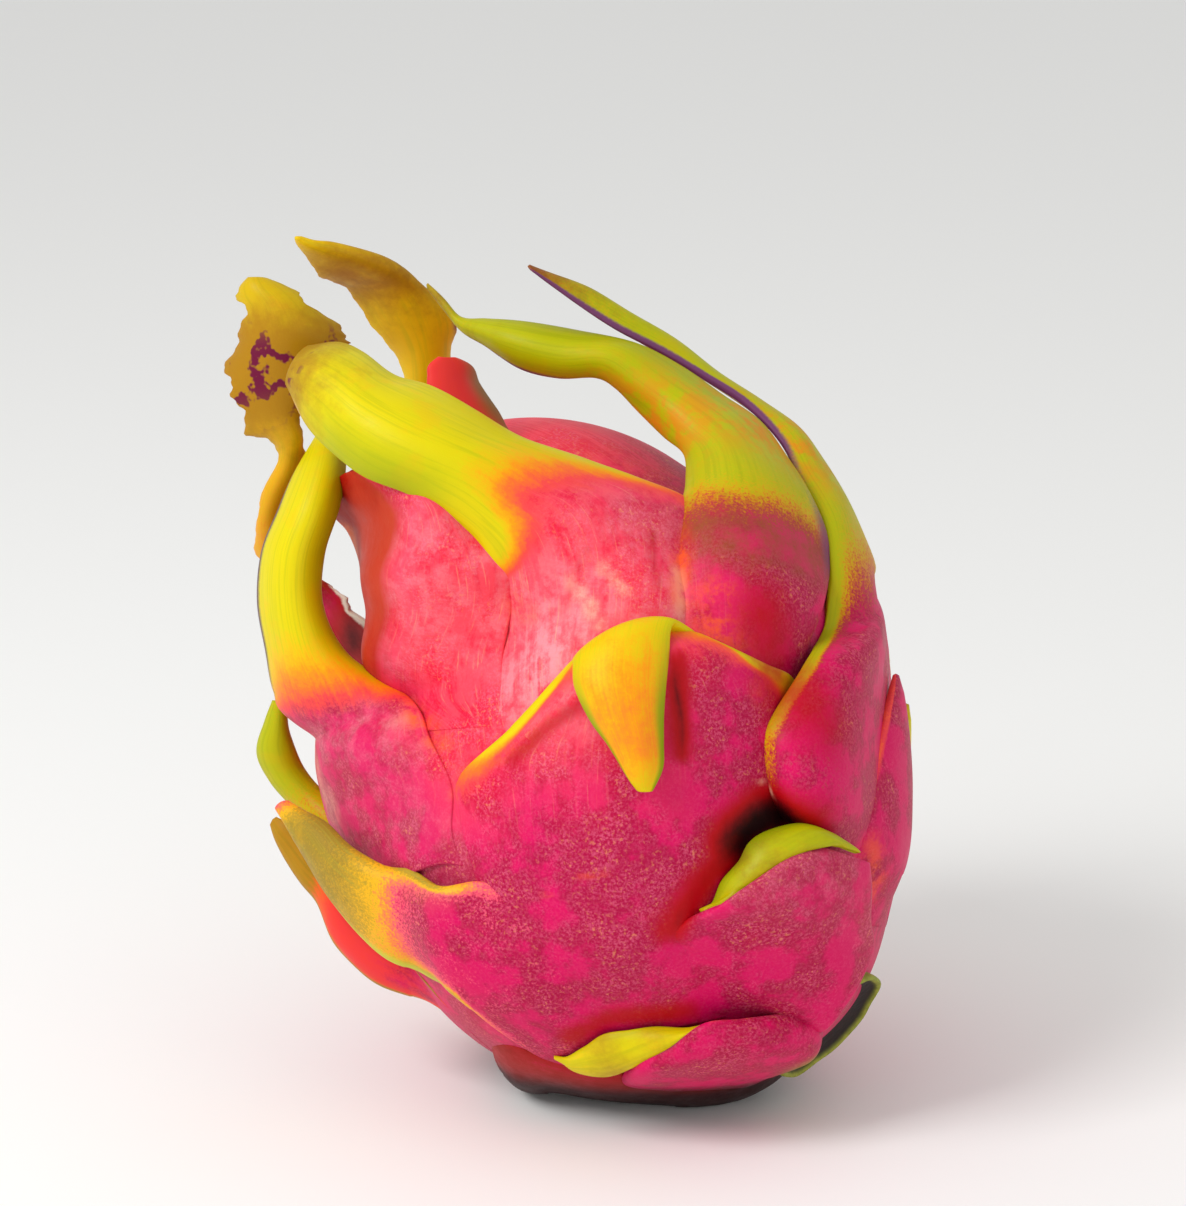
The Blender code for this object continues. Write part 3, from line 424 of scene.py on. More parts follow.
def slim_rails(*route):
    """Left margin, midrib and right margin of a slim scale: arcs of the knots' half width and cup angle."""
    middle = np.array([knot[0] for knot in route])
    out = np.array([knot[1] for knot in route])
    width, cup, thick = np.array([knot[2:] for knot in route], float).T[:, :, None]
    along = unit(np.gradient(middle, axis=0))
    out = unit(out - (out * along).sum(1, keepdims=True) * along)
    reach = width * np.sinc(cup / math.pi) * np.cross(along, out)
    sag = width * cup / 2 * out
    return middle - reach - sag, middle, middle + reach - sag, thick


def broad_rails(*sections):
    """The same for a broad scale, given as sections of left margin, midrib, right margin and thickness."""
    left, middle, right = (np.array([section[k] for section in sections], float) for k in range(3))
    return left, middle, right, np.array([section[3] for section in sections], float)[:, None]


def smooth(knots, values, t):
    """Cubic Hermite curve through the knots; the slope at a knot comes from its two neighbours."""
    slopes = np.gradient(values, knots, axis=0)
    i = np.clip(np.searchsorted(knots, t) - 1, 0, len(knots) - 2)
    step = (knots[i + 1] - knots[i])[:, None]
    x = (t - knots[i])[:, None] / step
    start = (2 * x ** 3 - 3 * x ** 2 + 1) * values[i] + (x ** 3 - 2 * x ** 2 + x) * step * slopes[i]
    return start + (3 * x ** 2 - 2 * x ** 3) * values[i + 1] + (x ** 3 - x ** 2) * step * slopes[i + 1]


def scale(name, rails, material, rings=130, sides=48, ragged=0.0, ruffle=0.0, seed=1, marked=1.0, **paint):
    """A scale as a closed lens-section tube carried between its margins.

    Each section is the parabola through left margin, midrib and right margin, with half the
    thickness on either face, tapering to the margins. ragged cuts into the margins and ruffle
    waves them, both by sums of sines. An outer face that comes near the skin is laid onto it in
    a soft curve, so that no seam shows. marked is how much of the marks it shows. paint gives,
    at each knot: ripe, margin and band (ripe at both edges, wide and narrow), dry, bloom, inner,
    hem (green at both edges), and tongue, rim, green and fold (ripe, rimmed, green or inner colour
    on one side), whose sign says on which side they are.
    """
    left, middle, right, thick = rails
    kinds = ("ripe", "margin", "band", "dry", "bloom", "inner", "hem", "tongue", "rim", "green", "fold")
    values = np.column_stack([thick] + [paint.get(key, [0.0] * len(thick)) for key in kinds])
    spans = np.linalg.norm(np.diff(middle, axis=0), axis=1) ** 0.8
    knots = np.concatenate([[0.0], np.cumsum(spans)]) / spans.sum()
    u = np.linspace(0.0, 1.0, rings)
    left, middle, right = (smooth(knots, rail, u)[:, None, :] for rail in (left, middle, right))
    values = smooth(knots, values, u)
    travelled = np.concatenate([[0.0], np.cumsum(np.linalg.norm(np.diff(middle[:, 0], axis=0), axis=1))])

    turn = np.linspace(0.0, 2.0 * math.pi, sides, endpoint=False)[None, :]
    v = np.sign(np.cos(turn)) * np.abs(np.cos(turn)) ** 0.85
    face = np.sign(np.sin(turn)) * np.abs(np.sin(turn)) ** 0.65
    half = np.linalg.norm(right - left, axis=-1) / 2
    mm = travelled[:, None] + 3.1 * seed + 4.0 * np.sign(v)
    teeth = np.sin(0.55 * mm) + 0.7 * np.sin(1.3 * mm + 1.0) + 0.25 * np.sin(3.7 * mm + 2.0)
    slender = np.minimum(1.0, 6.0 / np.maximum(half, 0.5))
    reach = (v * (1.0 + ragged * 0.3 * teeth * np.abs(v) ** 3 * slender))[..., None]
    grid = middle + reach * (right - left) / 2 + reach ** 2 * ((left + right) / 2 - middle)
    across = (right - left) / 2 + 2 * reach * ((left + right) / 2 - middle)
    normal = unit(np.cross(across, np.gradient(grid, axis=0)) + 1e-9)
    solid = np.maximum(values[:, 0:1], 0.7) * np.minimum(1.0, 0.35 + 0.25 * half)
    wave = ruffle * v ** 2 * np.sin(0.42 * mm + 1.3 * np.sign(v)) * np.minimum(1.0, half / 6.0)
    grid = grid + (solid / 2 * face + wave)[..., None] * normal

    height, away = over_skin(grid)
    settled = np.where(height > SEAT, height, np.maximum(height + SEAT, 0.0) ** 2 / (4 * SEAT)) - SINK
    grid = grid + (np.where((face > -0.2) & (height < SEAT), settled - height, 0.0))[..., None] * away

    ripe, margin, band, dry, bloom, inner, hem = (values[:, 1 + k:2 + k] for k in range(7))

    def one_side(amount, low, high):
        return np.abs(amount) * smoothstep(low, high, np.where(amount > 0, v, -v))

    tongue, rim, green, fold = (values[:, 8 + k:9 + k] for k in range(4))
    ripened = ripe + margin * smoothstep(0.45, 1.0, np.abs(v)) + one_side(tongue, 0.1, 0.95)
    ripened = ripened + band * smoothstep(0.76, 0.9, np.abs(v))
    greened = hem * smoothstep(0.55, 0.95, np.abs(v)) + one_side(green, -0.3, 1.0)
    inside = np.maximum(inner * smoothstep(0.1, -0.3, face), one_side(fold, -0.06, 0.1))
    rimmed = one_side(rim, 0.72, 0.95)
    tone, mark = tones(grid)
    layers = {
        "paint": np.stack(np.broadcast_arrays(ripened, dry + 0 * v, bloom + 0 * v), -1),
        "trim": np.stack(np.broadcast_arrays(rimmed, greened, inside), -1),
        "tone": tone,
        "mark": marked * mark,
        "lay": np.stack(np.broadcast_arrays(half.max() * v, mm, 17.0 * seed + 0 * v), -1),
    }
    piece = closed_mesh(name, drift(grid), layers)
    piece.data.materials.append(material)
    return piece


front_strap = scale("front_strap", broad_rails(
    (on(-2, -12, -2), on(-10, 4, -1.5), on(-15, 21, -2), 3),
    (on(8.5, -11, -1), on(3, 8, 1.5), on(-3, 27, -0.5), 3),
    (on(15.5, -9, 0), on(9, 13, 4.5), on(6, 32, 1), 3),
    ((-23, -28.5, 85), (-8.5, -32.5, 92), on(13, 39, 2), 3),
    ((-23.5, -31, 90.5), (-11.5, -31, 98.5), (8, -19, 97.5), 2.8),
    ((-26, -31.5, 95), (-17, -30.5, 101.5), (-0.5, -18.5, 101.5), 2.7),
    ((-29.5, -31, 98), (-21.5, -30.5, 104.5), (-8, -17.5, 103.5), 2.6),
    ((-33, -30.5, 100), (-26.5, -30.5, 107), (-17, -17.5, 106.5), 2.4),
    ((-37, -29.5, 102), (-32, -30, 109.5), (-25, -18, 111.5), 2.2),
    ((-42.5, -27, 104), (-37.5, -28.5, 112), (-32, -17, 115), 2),
    ((-46.5, -23.5, 106), (-42.5, -25.5, 114.5), (-37.5, -14, 116.5), 1.9),
    ((-50, -19.5, 109), (-46.5, -21.5, 117), (-42.5, -12, 119.5), 1.8),
    ((-52.5, -16, 112), (-50, -18, 118.5), (-46.5, -10.5, 121), 1.6),
    ((-54.5, -13, 115.5), (-53, -14, 119), (-51, -10, 120.5), 1.4),
), yellow_rind, rings=200, sides=80, ruffle=0.2, seed=1,
    ripe=(0, 0, 0, 0, 0.1, 0.3, 0.6, 0.85, 1, 1, 1, 1, 1, 1),
    tongue=(0, 0, 0, 0, -0.75, -0.9, -0.6, -0.3, 0, 0, 0, 0, 0, 0),
    margin=(0, 0, 0, 0, 0.1, 0.4, 0.35, 0.1, 0, 0, 0, 0, 0, 0),
    bloom=(0.3, 0.3, 0.25, 0.25, 0.2, 0.1, 0, 0, 0, 0, 0, 0, 0, 0),
    green=(0, 0, 0, 0, 0, -0.1, -0.3, -0.6, -0.7, -0.7, -0.6, -0.4, -0.2, 0),
    dry=(0, 0, 0, 0, 0, 0, 0, 0, 0, 0.05, 0.15, 0.35, 0.6, 0.9))
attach(front_strap, "root")
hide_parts("fruit")


# The left straps: a bowed yellow one in front, whose root swells out over the tile below it, and behind it
# a thin one that ends in a wrinkled ochre flap with purple blotches, the first part of the fruit to wither.
withered_rind = rind("rind_withered_ochre", (
    (0.24, "#a02414"), (0.38, "#e0781a"), (0.6, "#e0a010"), (0.9, "#ccaa08")),
    dry="#a8780c", blotch="#6a0c34",
    rim="#e8dccb", green="#9c8a04")

left_strap = scale("left_strap", broad_rails(
    (on(-6, -100, -2), on(-7, -51, -2), on(-13, -29, -2), 3),
    (on(-1, -100, -0.5), (-46.5, -13, 42), on(-6.5, -29, -0.5), 3),
    (on(6, -100, 0), (-49, -12, 49), on(-1.5, -26, -0.5), 3),
    (on(13, -98, 0), (-50, -13, 54), on(3, -27, -0.5), 3),
    (on(18, -94, 1), (-50, -14, 57.5), on(7.5, -30, 0), 3),
    ((-55.5, -6, 60.5), (-48.5, -17.5, 62.5), on(13, -34, 1), 3),
    ((-58, -8, 65), (-50.5, -18.5, 68.5), (-39, -17, 67.5), 2.8),
    ((-59, -9.5, 72), (-53, -18.5, 74.5), (-46, -15, 72), 2.5),
    ((-60, -10.5, 80.5), (-54.5, -18.5, 82.5), (-50, -14, 80), 2.3),
    ((-59, -11, 88.5), (-54, -18.5, 90), (-49.5, -14, 88.5), 2.1),
    ((-56.5, -11, 94.5), (-51.5, -17, 96.5), (-47, -12.5, 95.5), 1.9),
    ((-54, -8, 99.5), (-49.5, -12.5, 102), (-46, -9.5, 100.5), 1.8),
    ((-50.5, -4, 104.5), (-48.5, -5.5, 106), (-46, -4.5, 105), 1.4),
), yellow_rind, rings=190, sides=72, seed=2,
    ripe=(0, 0, 0, 0, 0, 0.05, 0.4, 0.75, 1, 1, 1, 1, 1),
    margin=(0, 0, 0, 0, 0, 0.1, 0.25, 0.15, 0, 0, 0, 0, 0),
    bloom=(0, 0.1, 0.1, 0.1, 0.2, 0.2, 0, 0, 0, 0, 0, 0, 0),
    green=(0, 0, 0, 0, 0, 0, 0, 0.35, 0.6, 0.7, 0.7, 0.6, 0.6),
    rim=(0, 0, 0, 0, 0, -0.2, -0.5, -0.8, -0.8, -0.8, -0.8, -0.5, 0))
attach(left_strap, "root")
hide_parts("fruit")

withered_flap = scale("withered_flap", broad_rails(
    (on(-8, -118, -2), on(-8, -108, -2), on(-8, -96, -2), 3),
    (on(4, -125, 1), on(5, -112, 1.5), on(6, -96, 0), 3),
    ((-55, 12, 66.5), (-49, 8, 69), (-40.5, -2, 70), 2.4),
    ((-57.5, 9, 74), (-52, 5, 76.5), (-46.5, 3, 77), 2),
    ((-60, 5, 83), (-57.5, 2, 84), (-54.5, 4, 82.5), 1.8),
    ((-60.5, 1, 90.5), (-58.5, -1.5, 91.5), (-56, 1, 90.5), 1.8),
    ((-59, -1, 95), (-57, -3, 96), (-54, 0, 95.5), 1.8),
    ((-56.5, -2, 100), (-55, -4, 101), (-52.5, -2, 100.5), 1.8),
    ((-57, -3, 103.5), (-54.5, -5, 104.5), (-52.5, -3, 104.5), 1.8),
    ((-60.5, -3, 106), (-56, -5, 108.5), (-52.5, -4, 108.5), 1.8),
    ((-63, -2, 110.5), (-57, -5, 112.5), (-52, -4, 113), 1.8),
    ((-64, -1, 115), (-56.5, -5, 117), (-48.5, -3, 117.5), 1.8),
    ((-63, -1, 120.5), (-55, -5, 121.5), (-45.5, -1, 120), 1.8),
    ((-61.5, -1, 125.5), (-56, -4.5, 125.5), (-50, -1, 124), 1.8),
    ((-61.5, -1, 128.5), (-59, -3, 129), (-55.5, -1, 128), 1.6),
    ((-60.5, -1, 130), (-59.5, -2, 130), (-58, -1, 129.5), 1.2),
), withered_rind, rings=260, sides=72, ragged=0.5, ruffle=0.9, seed=3, rim=(0, 0, 0.9, 0.9, 0.2) + (0,) * 11,
    ripe=(0, 0, 0, 0.1, 0.5, 0.6, 0.65, 0.75, 0.8, 0.8, 0.9, 0.9, 1, 1, 1, 1),
    dry=(0, 0, 0, 0, 0, 0, 0, 0.2, 0.4, 0.7, 0.85, 0.9, 0.8, 0.4, 0.1, 0),
    green=(0, 0, 0, 0, 0, 0, 0, 0, 0, 0.3, 0.3, 0.3, 0.4, 0.4, 0.3, 0.2))
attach(withered_flap, "root")
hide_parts("fruit")


# The crown behind the front strap: the ochre far strap with the highest tip, a short red leaf, and the
# scale that closes the gap beside the left strap, whose left face is darkened with painted shade.
far_rind = rind("rind_aging_ochre", ((0.24, "#e8581c"), (0.4, "#eaa810"), (0.6, "#ecbc06"), (0.9, "#e4bc08")),
                dry="#a87410", blotch="#7a4a10", rim="#7a3050", speckle=0.4)
red_rind = rind("rind_young_red", ((0.24, "#e8343c"), (0.5, "#ec3c30"), (0.75, "#e86020"), (0.95, "#b08010")),
                green="#6b6a0c")
# Painted shade: the inner left scale's left face is laid in a darker red, the shade of a face turned from the
# key light over the scale's own red-brown.
shaded_face_rind = rind("rind_shaded_face", YELLOW_STRAP, inner="#c03a26", rim="#e0601c")
dark_rind = rind("rind_shaded_red", (
    (0.24, "#a81a1c"), (0.45, "#8c1c10"), (0.7, "#c0480c"), (0.95, "#e07c10")))

far_strap = scale("far_strap", broad_rails(
    (on(38, 160, -2), on(36, 175, -2), on(38, 195, -2), 3),
    (on(46, 162, 1), on(44, 174, 2), on(45, 190, 1), 2.6),
    ((-39.5, 33, 99.5), (-35.5, 31, 100), (-31, 33, 99.5), 2.2),
    ((-38.5, 32, 106), (-35, 29.5, 106.5), (-31, 32, 106.5), 2),
    ((-40, 30, 111.5), (-35, 27.5, 113), (-31, 30, 112.5), 1.8),
    ((-43.5, 28, 117), (-36.5, 25, 119), (-30.5, 28, 118.5), 1.8),
    ((-47, 26, 122), (-39, 23, 124), (-33, 26, 122), 1.8),
    ((-50.5, 23, 125.5), (-43, 20, 127.5), (-37.5, 23, 126), 1.8),
    ((-52.5, 20, 127.5), (-47.5, 17.5, 130), (-43, 20, 129.5), 1.8),
    ((-54, 18, 130), (-51, 16, 131.5), (-48, 18, 131.5), 1.6),
    ((-55, 16, 132.5), (-53.5, 15, 132.5), (-52, 16, 132.5), 1.4),
    ((-55, 15, 133.5), (-55, 14.5, 133.5), (-54.5, 15, 133.5), 1),
), far_rind, rings=170, ragged=0.08, ruffle=0.5, seed=4, ripe=(0, 0.3, 1, 1, 1, 1, 1, 1, 1, 1, 1, 1),
    dry=(0, 0, 0, 0, 0.1, 0.35, 0.6, 0.65, 0.6, 0.5, 0.3, 0.2),
    rim=(0, 0, 0, 0, 0.1, 0.7, 0.7, 0.2, 0, 0, 0, 0))
red_leaf = scale("red_leaf", broad_rails(
    (on(44, 5, -2), on(46, 22, -2), on(44, 38, -2), 2.6),
    ((-32.5, -4, 107), (-26, -1, 105.5), (-20.5, 3, 104), 2.4),
    ((-33, -3, 111), (-28, -1, 110), (-22.5, 5, 107.5), 2.2),
    ((-33, -2, 114), (-29, 0, 113), (-25, 6, 111.5), 2),
    ((-32.5, -1, 116), (-29.5, 1, 115.5), (-26.5, 5, 114.5), 1.8),
    ((-31, 0, 117), (-30, 1, 116.5), (-28.5, 3, 115.5), 1.4),
), red_rind, rings=90, ruffle=0.3, seed=5, ripe=(0.2, 0.3, 0.36, 0.36, 0.4, 0.45),
    bloom=(0.1, 0.3, 0.4, 0.4, 0.2, 0.1),
    green=(0, 0.6, 0.8, 0.8, 0.6, 0.4))
# Its fold paint lays that darker red on its left face: painted shade on a face turned from the light.
inner_left_scale = scale("inner_left_scale", broad_rails(
    (on(15, -49, -2), on(8.5, -30, -2), on(2, -11, -2), 3),
    (on(23, -68, -1), on(18.5, -48, 1), on(8, -10, -0.5), 3),
    ((-41.5, -12, 72), (-39.5, -23, 75), on(13, -8, 1), 3),
    ((-42, -9, 78), (-37.5, -27.5, 83), (-20, -30.5, 85.5), 2.8),
    ((-43, -5, 82), (-38, -29, 89), (-20.5, -31, 90.5), 2.6),
    ((-44.5, -4, 86.5), (-36.5, -29.5, 93.5), (-24.5, -30, 94.5), 2.4),
    ((-46, -3, 89.5), (-36, -29, 98), (-29, -29, 98.5), 2.2),
    ((-48.5, -4, 93), (-38.5, -25, 101), (-33.5, -27.5, 101), 2),
    ((-46.5, -12, 100.5), (-43.5, -18, 103), (-40.5, -20, 101.5), 1.6),
), shaded_face_rind, rings=150, sides=64, seed=6, bloom=(0, 0, 0.2, 0.3, 0.3, 0.3, 0.2, 0, 0),
    fold=(0, -0.5, -1, -1, -1, -1, -1, -1, -1), rim=(0, 0, 0, -0.3, -0.8, -1, -0.8, 0, 0))
for piece in (far_strap, red_leaf, inner_left_scale):
    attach(piece, "root")
    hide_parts("fruit")


# The right straps: an olive-yellow one whose thin end bows to the left, and the long arch beside it,
# seen edge-on, which grows from the big magenta scale of the right side.
olive_rind = rind("rind_turning_olive", (
    (0.26, "#b4323c"), (0.4, "#cc6a1c"), (0.54, "#cf9a08"), (0.68, "#c4ae02"), (0.9, "#b4b402")),
    green="#7c8a02", dry="#8a4e1c", rim="#74406a", speckle=0.9)

right_strap = scale("right_strap", broad_rails(
    (on(-10.5, 26, -2), on(-13.5, 37, -1.5), on(-13.5, 52, -2), 3),
    (on(0.5, 25, -1), on(-4, 40, 1.5), on(-6.5, 55, 0.5), 3),
    (on(9.5, 28, 0.5), on(3, 42, 4), on(-0.5, 61, 2.5), 3),
    (on(16, 35, 2), (15.5, -27, 94), (29, -13, 87.5), 2.8),
    ((6, -20, 98), (15.5, -22, 98), (28.5, -11, 92.5), 2.6),
    ((7, -14, 100.5), (15.5, -17.5, 102), (26, -8, 98), 2.4),
    ((7, -9, 103.5), (14.5, -13, 105), (23.5, -3.5, 101.5), 2.3),
    ((4, -4, 105.5), (11.5, -8.5, 108), (19.5, 1, 106.5), 2.2),
    ((0, -1, 109), (7, -5, 111), (13.5, 3, 110.5), 2),
    ((-3.5, 0, 112.5), (1.5, -3, 114.5), (7, 4, 115), 1.9),
    ((-6.5, 0, 114), (-4, -2, 118), (0, 4, 118.5), 1.8),
    ((-12.5, 2, 113.5), (-11.5, -0.5, 118), (-10, 5, 120.5), 1.8),
    ((-18.5, 4, 114.5), (-18.5, 1.5, 119), (-18, 6, 121.5), 1.7),
    ((-24, 7, 117.5), (-24, 5, 120), (-24, 8, 121.5), 1.6),
    ((-28, 9, 119.5), (-28.5, 8.5, 121), (-28.5, 10, 121.5), 1.5),
    ((-31, 11, 122.5), (-31, 10.5, 123.5), (-31, 11.5, 124), 1.3),
    ((-34, 14, 125.5), (-34, 14, 126), (-34, 14, 126.5), 1),
), olive_rind, rings=210, sides=72, seed=7,
    ripe=(0, 0, 0, 0.05, 0.4, 0.85, 0.95, 1, 1, 1, 1, 1, 1, 1, 0.9, 0.8, 0.8),
    margin=(0, 0, 0, 0.1, 0.2, 0.1, 0, 0, 0, 0, 0, 0, 0, 0, 0, 0, 0),
    dry=(0, 0, 0.2, 0.5, 0.35, 0, 0, 0, 0, 0, 0, 0.1, 0.1, 0.2, 0.3, 0.5, 0.5),
    green=(0, 0, 0, 0, 0.2, 0.3, 0.3, 0.3, 0.4, 0.4, 0.4, 0.4, 0.4, 0.3, 0, 0, 0),
    rim=(0, 0, 0.1, 0.6, 0.6, 0.3, 0, 0, 0, 0, 0, -0.5, -0.8, -0.8, -0.8, -0.5, 0))
arch_strap = scale("arch_strap", broad_rails(
    (on(-33.5, 36, -2), on(-42.5, 61, -2), on(-34, 112, -2), 3),
    (on(-29, 41, -1), on(-34.5, 60, 1), on(-27, 112, 0), 3),
    (on(-23, 38, 1.5), on(-28.5, 54, 4.5), on(-20, 112, 1.5), 3),
    (on(-17, 38, 2.5), on(-21, 55, 5.5), on(-12, 110, 2), 3),
    (on(-13.5, 41, 3.5), on(-14, 60, 5.5), on(-5, 106, 2.2), 3),
    (on(-9, 48, 4.5), on(-8.5, 66, 5.5), on(2, 104, 2.4), 3),
    ((27.5, -19, 79), (35.5, -9, 79), on(8, 104, 2.6), 2.8),
    ((29, -15, 86), (34, -6, 86.5), (37.5, 6, 81), 2.6),
    ((28.5, -10, 92.5), (32.5, -3, 92.5), (33.5, 8, 89), 2.4),
    ((25, -4, 99), (28.5, 1, 99.5), (29, 10, 97), 2.2),
    ((22.5, 0, 103.5), (25.5, 4, 104), (24, 12, 101.5), 2),
    ((17, 4, 109), (19.5, 7.5, 108), (18, 13, 106.5), 2),
    ((10, 5, 113.5), (12.5, 8.5, 112.5), (11.5, 13, 111), 2),
    ((3, 5, 117.5), (5.5, 8.5, 118), (4, 12, 115.5), 2),
    ((-3.5, 4, 121), (-1.5, 7, 122.5), (-3, 10, 120), 1.8),
    ((-9.5, 3, 125), (-8.5, 5, 127), (-9.5, 8, 124.5), 1.7),
    ((-14, 1.5, 128.5), (-14, 3, 129.5), (-14.5, 5, 128.5), 1.5),
    ((-17, 0, 131), (-17.5, 0.5, 131.5), (-17.5, 1, 131.5), 1),
), olive_rind, rings=220, sides=80, seed=8,
    ripe=(0, 0, 0, 0, 0, 0, 0.1, 0.5, 0.8, 0.9, 0.9, 0.9, 1, 1, 0.9, 0.8, 0.6, 0.5),
    band=(0, 0, 0.25, 0.5, 0.8, 0.9, 0.6, 0.2, 0, 0, 0, 0, 0, 0, 0, 0, 0, 0),
    margin=(0, 0, 0, 0, 0, 0.1, 0.5, 0.4, 0.2, 0, 0, 0, 0, 0, 0, 0, 0, 0),
    dry=(0, 0, 0, 0, 0, 0, 0, 0, 0.1, 0.1, 0, 0, 0, 0.1, 0.2, 0.4, 0.6, 0.9),
    rim=(0, 0, 0, 0, 0, 0, 0, 0, 0, -0.4, -0.8, -1, -1, -1, -1, -1, -1, -0.6))
for piece in (right_strap, arch_strap):
    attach(piece, "root")
    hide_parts("fruit")


# The folded scale: the widest one, across the middle of the front. Its lip turns yellow and its tip has
# flopped over the lip, so that the tip's inner face looks out with green margins.
folded_scale = scale("folded_scale", broad_rails(
    (on(-40, -43, -2), on(-48.5, -12, -1.5), on(-51.5, 27, -2), 3),
    (on(-26.5, -36, -1), on(-36.5, 2, 1), on(-39.5, 56, -2), 3),
    (on(-15, -28, -0.5), on(-26, 9, 2.5), on(-28, 54, -1), 3),
    (on(-6, -26, -0.5), on(-16, 13, 3.5), on(-20.5, 51, 0), 3),
    (on(-0.5, -22, 0.5), on(-8.5, 16, 4.5), on(-13.5, 50, 1), 3),
    (on(0.5, -10, 1.5), on(-4, 17, 6.5), on(-9, 47, 2.5), 2.8),
    (on(2, 0, 3.5), on(-0.5, 19, 8), on(-5.5, 38, 4.5), 2.6),
    ((-11, -41, 77.5), (-1, -41.5, 82.5), (9, -38, 81), 2.4),
    ((-10.5, -46, 79), (-3, -46, 84), (4.5, -43, 84.5), 2.2),
    ((-10, -49.5, 76), (-4, -51, 79), (3.5, -47, 79.5), 2),
    ((-7.5, -51, 71.5), (-3, -53.5, 74), (3, -50, 73), 1.9),
    ((-5, -52, 68.5), (-1.5, -54.5, 69.5), (3, -51, 68.5), 1.8),
    ((-3, -52.5, 65.5), (-0.5, -54.5, 66), (3, -52, 65), 1.7),
    ((-1.5, -53, 63), (0, -54, 63), (2, -53, 62.5), 1.4),
    ((-0.5, -53, 61.5), (0.5, -53.5, 61.5), (1.5, -53, 61.5), 1),
), yellow_rind, rings=230, sides=88, seed=9,
    ripe=(0, 0, 0, 0, 0, 0, 0.15, 0.6, 0.72, 0.58, 0.52, 0.52, 0.6, 0.75, 0.85),
    band=(0, 0, 0, 0, 0.3, 0.85, 0.75, 0.35, 0.1, 0, 0, 0, 0, 0, 0),
    margin=(0, 0, 0, 0, 0.12, 0.24, 0.26, 0.1, 0.1, 0.1, 0.1, 0.1, 0.1, 0.1, 0),
    hem=(0, 0, 0, 0, 0, 0, 0, 0, 0.2, 0.5, 0.9, 1, 1, 1, 1))
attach(folded_scale, "root")
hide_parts("fruit")


# The lower left tips: an olive spur that narrows from the tile of the lower left, a red scale with a
# yellow rim under it, and a thin tendril that comes up behind.
spur_rind = rind("rind_spur_olive", (
    (0.24, "#f0506c"), (0.4, "#f4863c"), (0.54, "#f0b418"), (0.7, "#c89c20"), (0.92, "#9c8028")),
    green="#b4b840", dry="#8a6a34", rim="#c8cc3c", speckle=0.6)

left_spur = scale("left_spur", broad_rails(
    (on(-50.5, -62, -2), on(-40.5, -18, -2), on(-27, -5, -2), 3),
    (on(-44, -60, -0.5), on(-32.5, -30, 1), on(-21, -19, -1), 3),
    (on(-33.5, -53, 0.5), on(-24.5, -36, 2), on(-15.5, -27, 0.5), 3),
    (on(-26.5, -50, 2), on(-18, -39, 3.5), on(-13, -34, 2.5), 2.8),
    ((-33, -27, 24.5), (-36, -33, 35.5), (-35.5, -32, 43), 2.6),
    ((-38.5, -26, 26), (-39.5, -31, 37.5), (-39, -30, 42.5), 2.4),
    ((-43.5, -24, 29.5), (-44, -28.5, 39.5), (-43, -27, 43.5), 2.2),
    ((-49, -21.5, 35.5), (-48, -25, 41.5), (-46, -23.5, 44.5), 2.1),
    ((-53, -18.5, 41), (-51.5, -21, 44.5), (-49.5, -19.5, 46.5), 2),
    ((-56, -16, 45), (-54.5, -17.5, 46.5), (-53, -16.5, 47.5), 1.8),
    ((-58, -14, 47.5), (-57.5, -14.5, 48.5), (-56, -14, 48.5), 1.4),
), spur_rind, rings=170, sides=72, seed=10, ripe=(0, 0, 0, 0, 0.2, 0.45, 0.75, 0.9, 0.95, 0.8, 0.3),
    margin=(0, 0, 0, 0.3, 0.3, 0.1, 0, 0, 0, 0, 0), green=(0, 0, 0, 0.3, 0.2, 0, 0, 0, 0, 0, 0),
    band=(0, 0, 0.3, 0.4, 0.3, 0, 0, 0, 0, 0, 0), bloom=(0, 0, 0, 0, 0, 0, 0, 0.1, 0.3, 0.5, 0.6),
    rim=(0, 0, 0, -0.3, -0.7, -0.7, -0.6, -0.3, 0, 0, 0))
left_under_spur = scale("left_under_spur", broad_rails(
    (on(-38, -80, -2), on(-34, -72, -2), on(-30, -66, -2), 3),
    ((-27, -18, 15), (-28.5, -22, 20), (-30, -22, 24), 2.8),
    ((-32.5, -17, 16.5), (-33.5, -20, 20.5), (-34, -20, 25), 2.6),
    ((-36.5, -16, 17), (-37.5, -19, 22), (-37.5, -18, 26), 2.4),
    ((-41.5, -15, 18.5), (-42, -18, 24), (-42, -17, 28.5), 2.2),
    ((-45, -14, 21), (-45.5, -17, 26.5), (-45, -16, 30.5), 2.1),
    ((-48.5, -13, 24.5), (-48, -16, 29.5), (-47.5, -15, 33), 2),
    ((-51.5, -11.5, 31), (-51, -13.5, 34.5), (-50, -13, 37.5), 1.9),
    ((-54, -11, 34), (-53.5, -12.5, 37), (-52.5, -12, 40.5), 1.8),
    ((-56.5, -10, 37.5), (-56, -11, 40), (-54.5, -11, 42.5), 1.7),
    ((-58.5, -9, 41), (-58, -10, 42.5), (-57, -10, 44), 1.5),
    ((-59.5, -9, 43.5), (-59, -9, 44), (-58.5, -9, 44.5), 1.1),
), red_rind, rings=150, seed=11, ripe=(0, 0.1, 0.1, 0.2, 0.3, 0.35, 0.45, 0.8, 1, 1.1, 1.1, 1.1),
    band=(0, 0.4, 0.9, 1, 1, 0.9, 0.6, 0, 0, 0, 0, 0),
    margin=(0, 0.8, 0.9, 0.8, 0.7, 0.7, 0.7, 0.4, 0.2, 0, 0, 0))
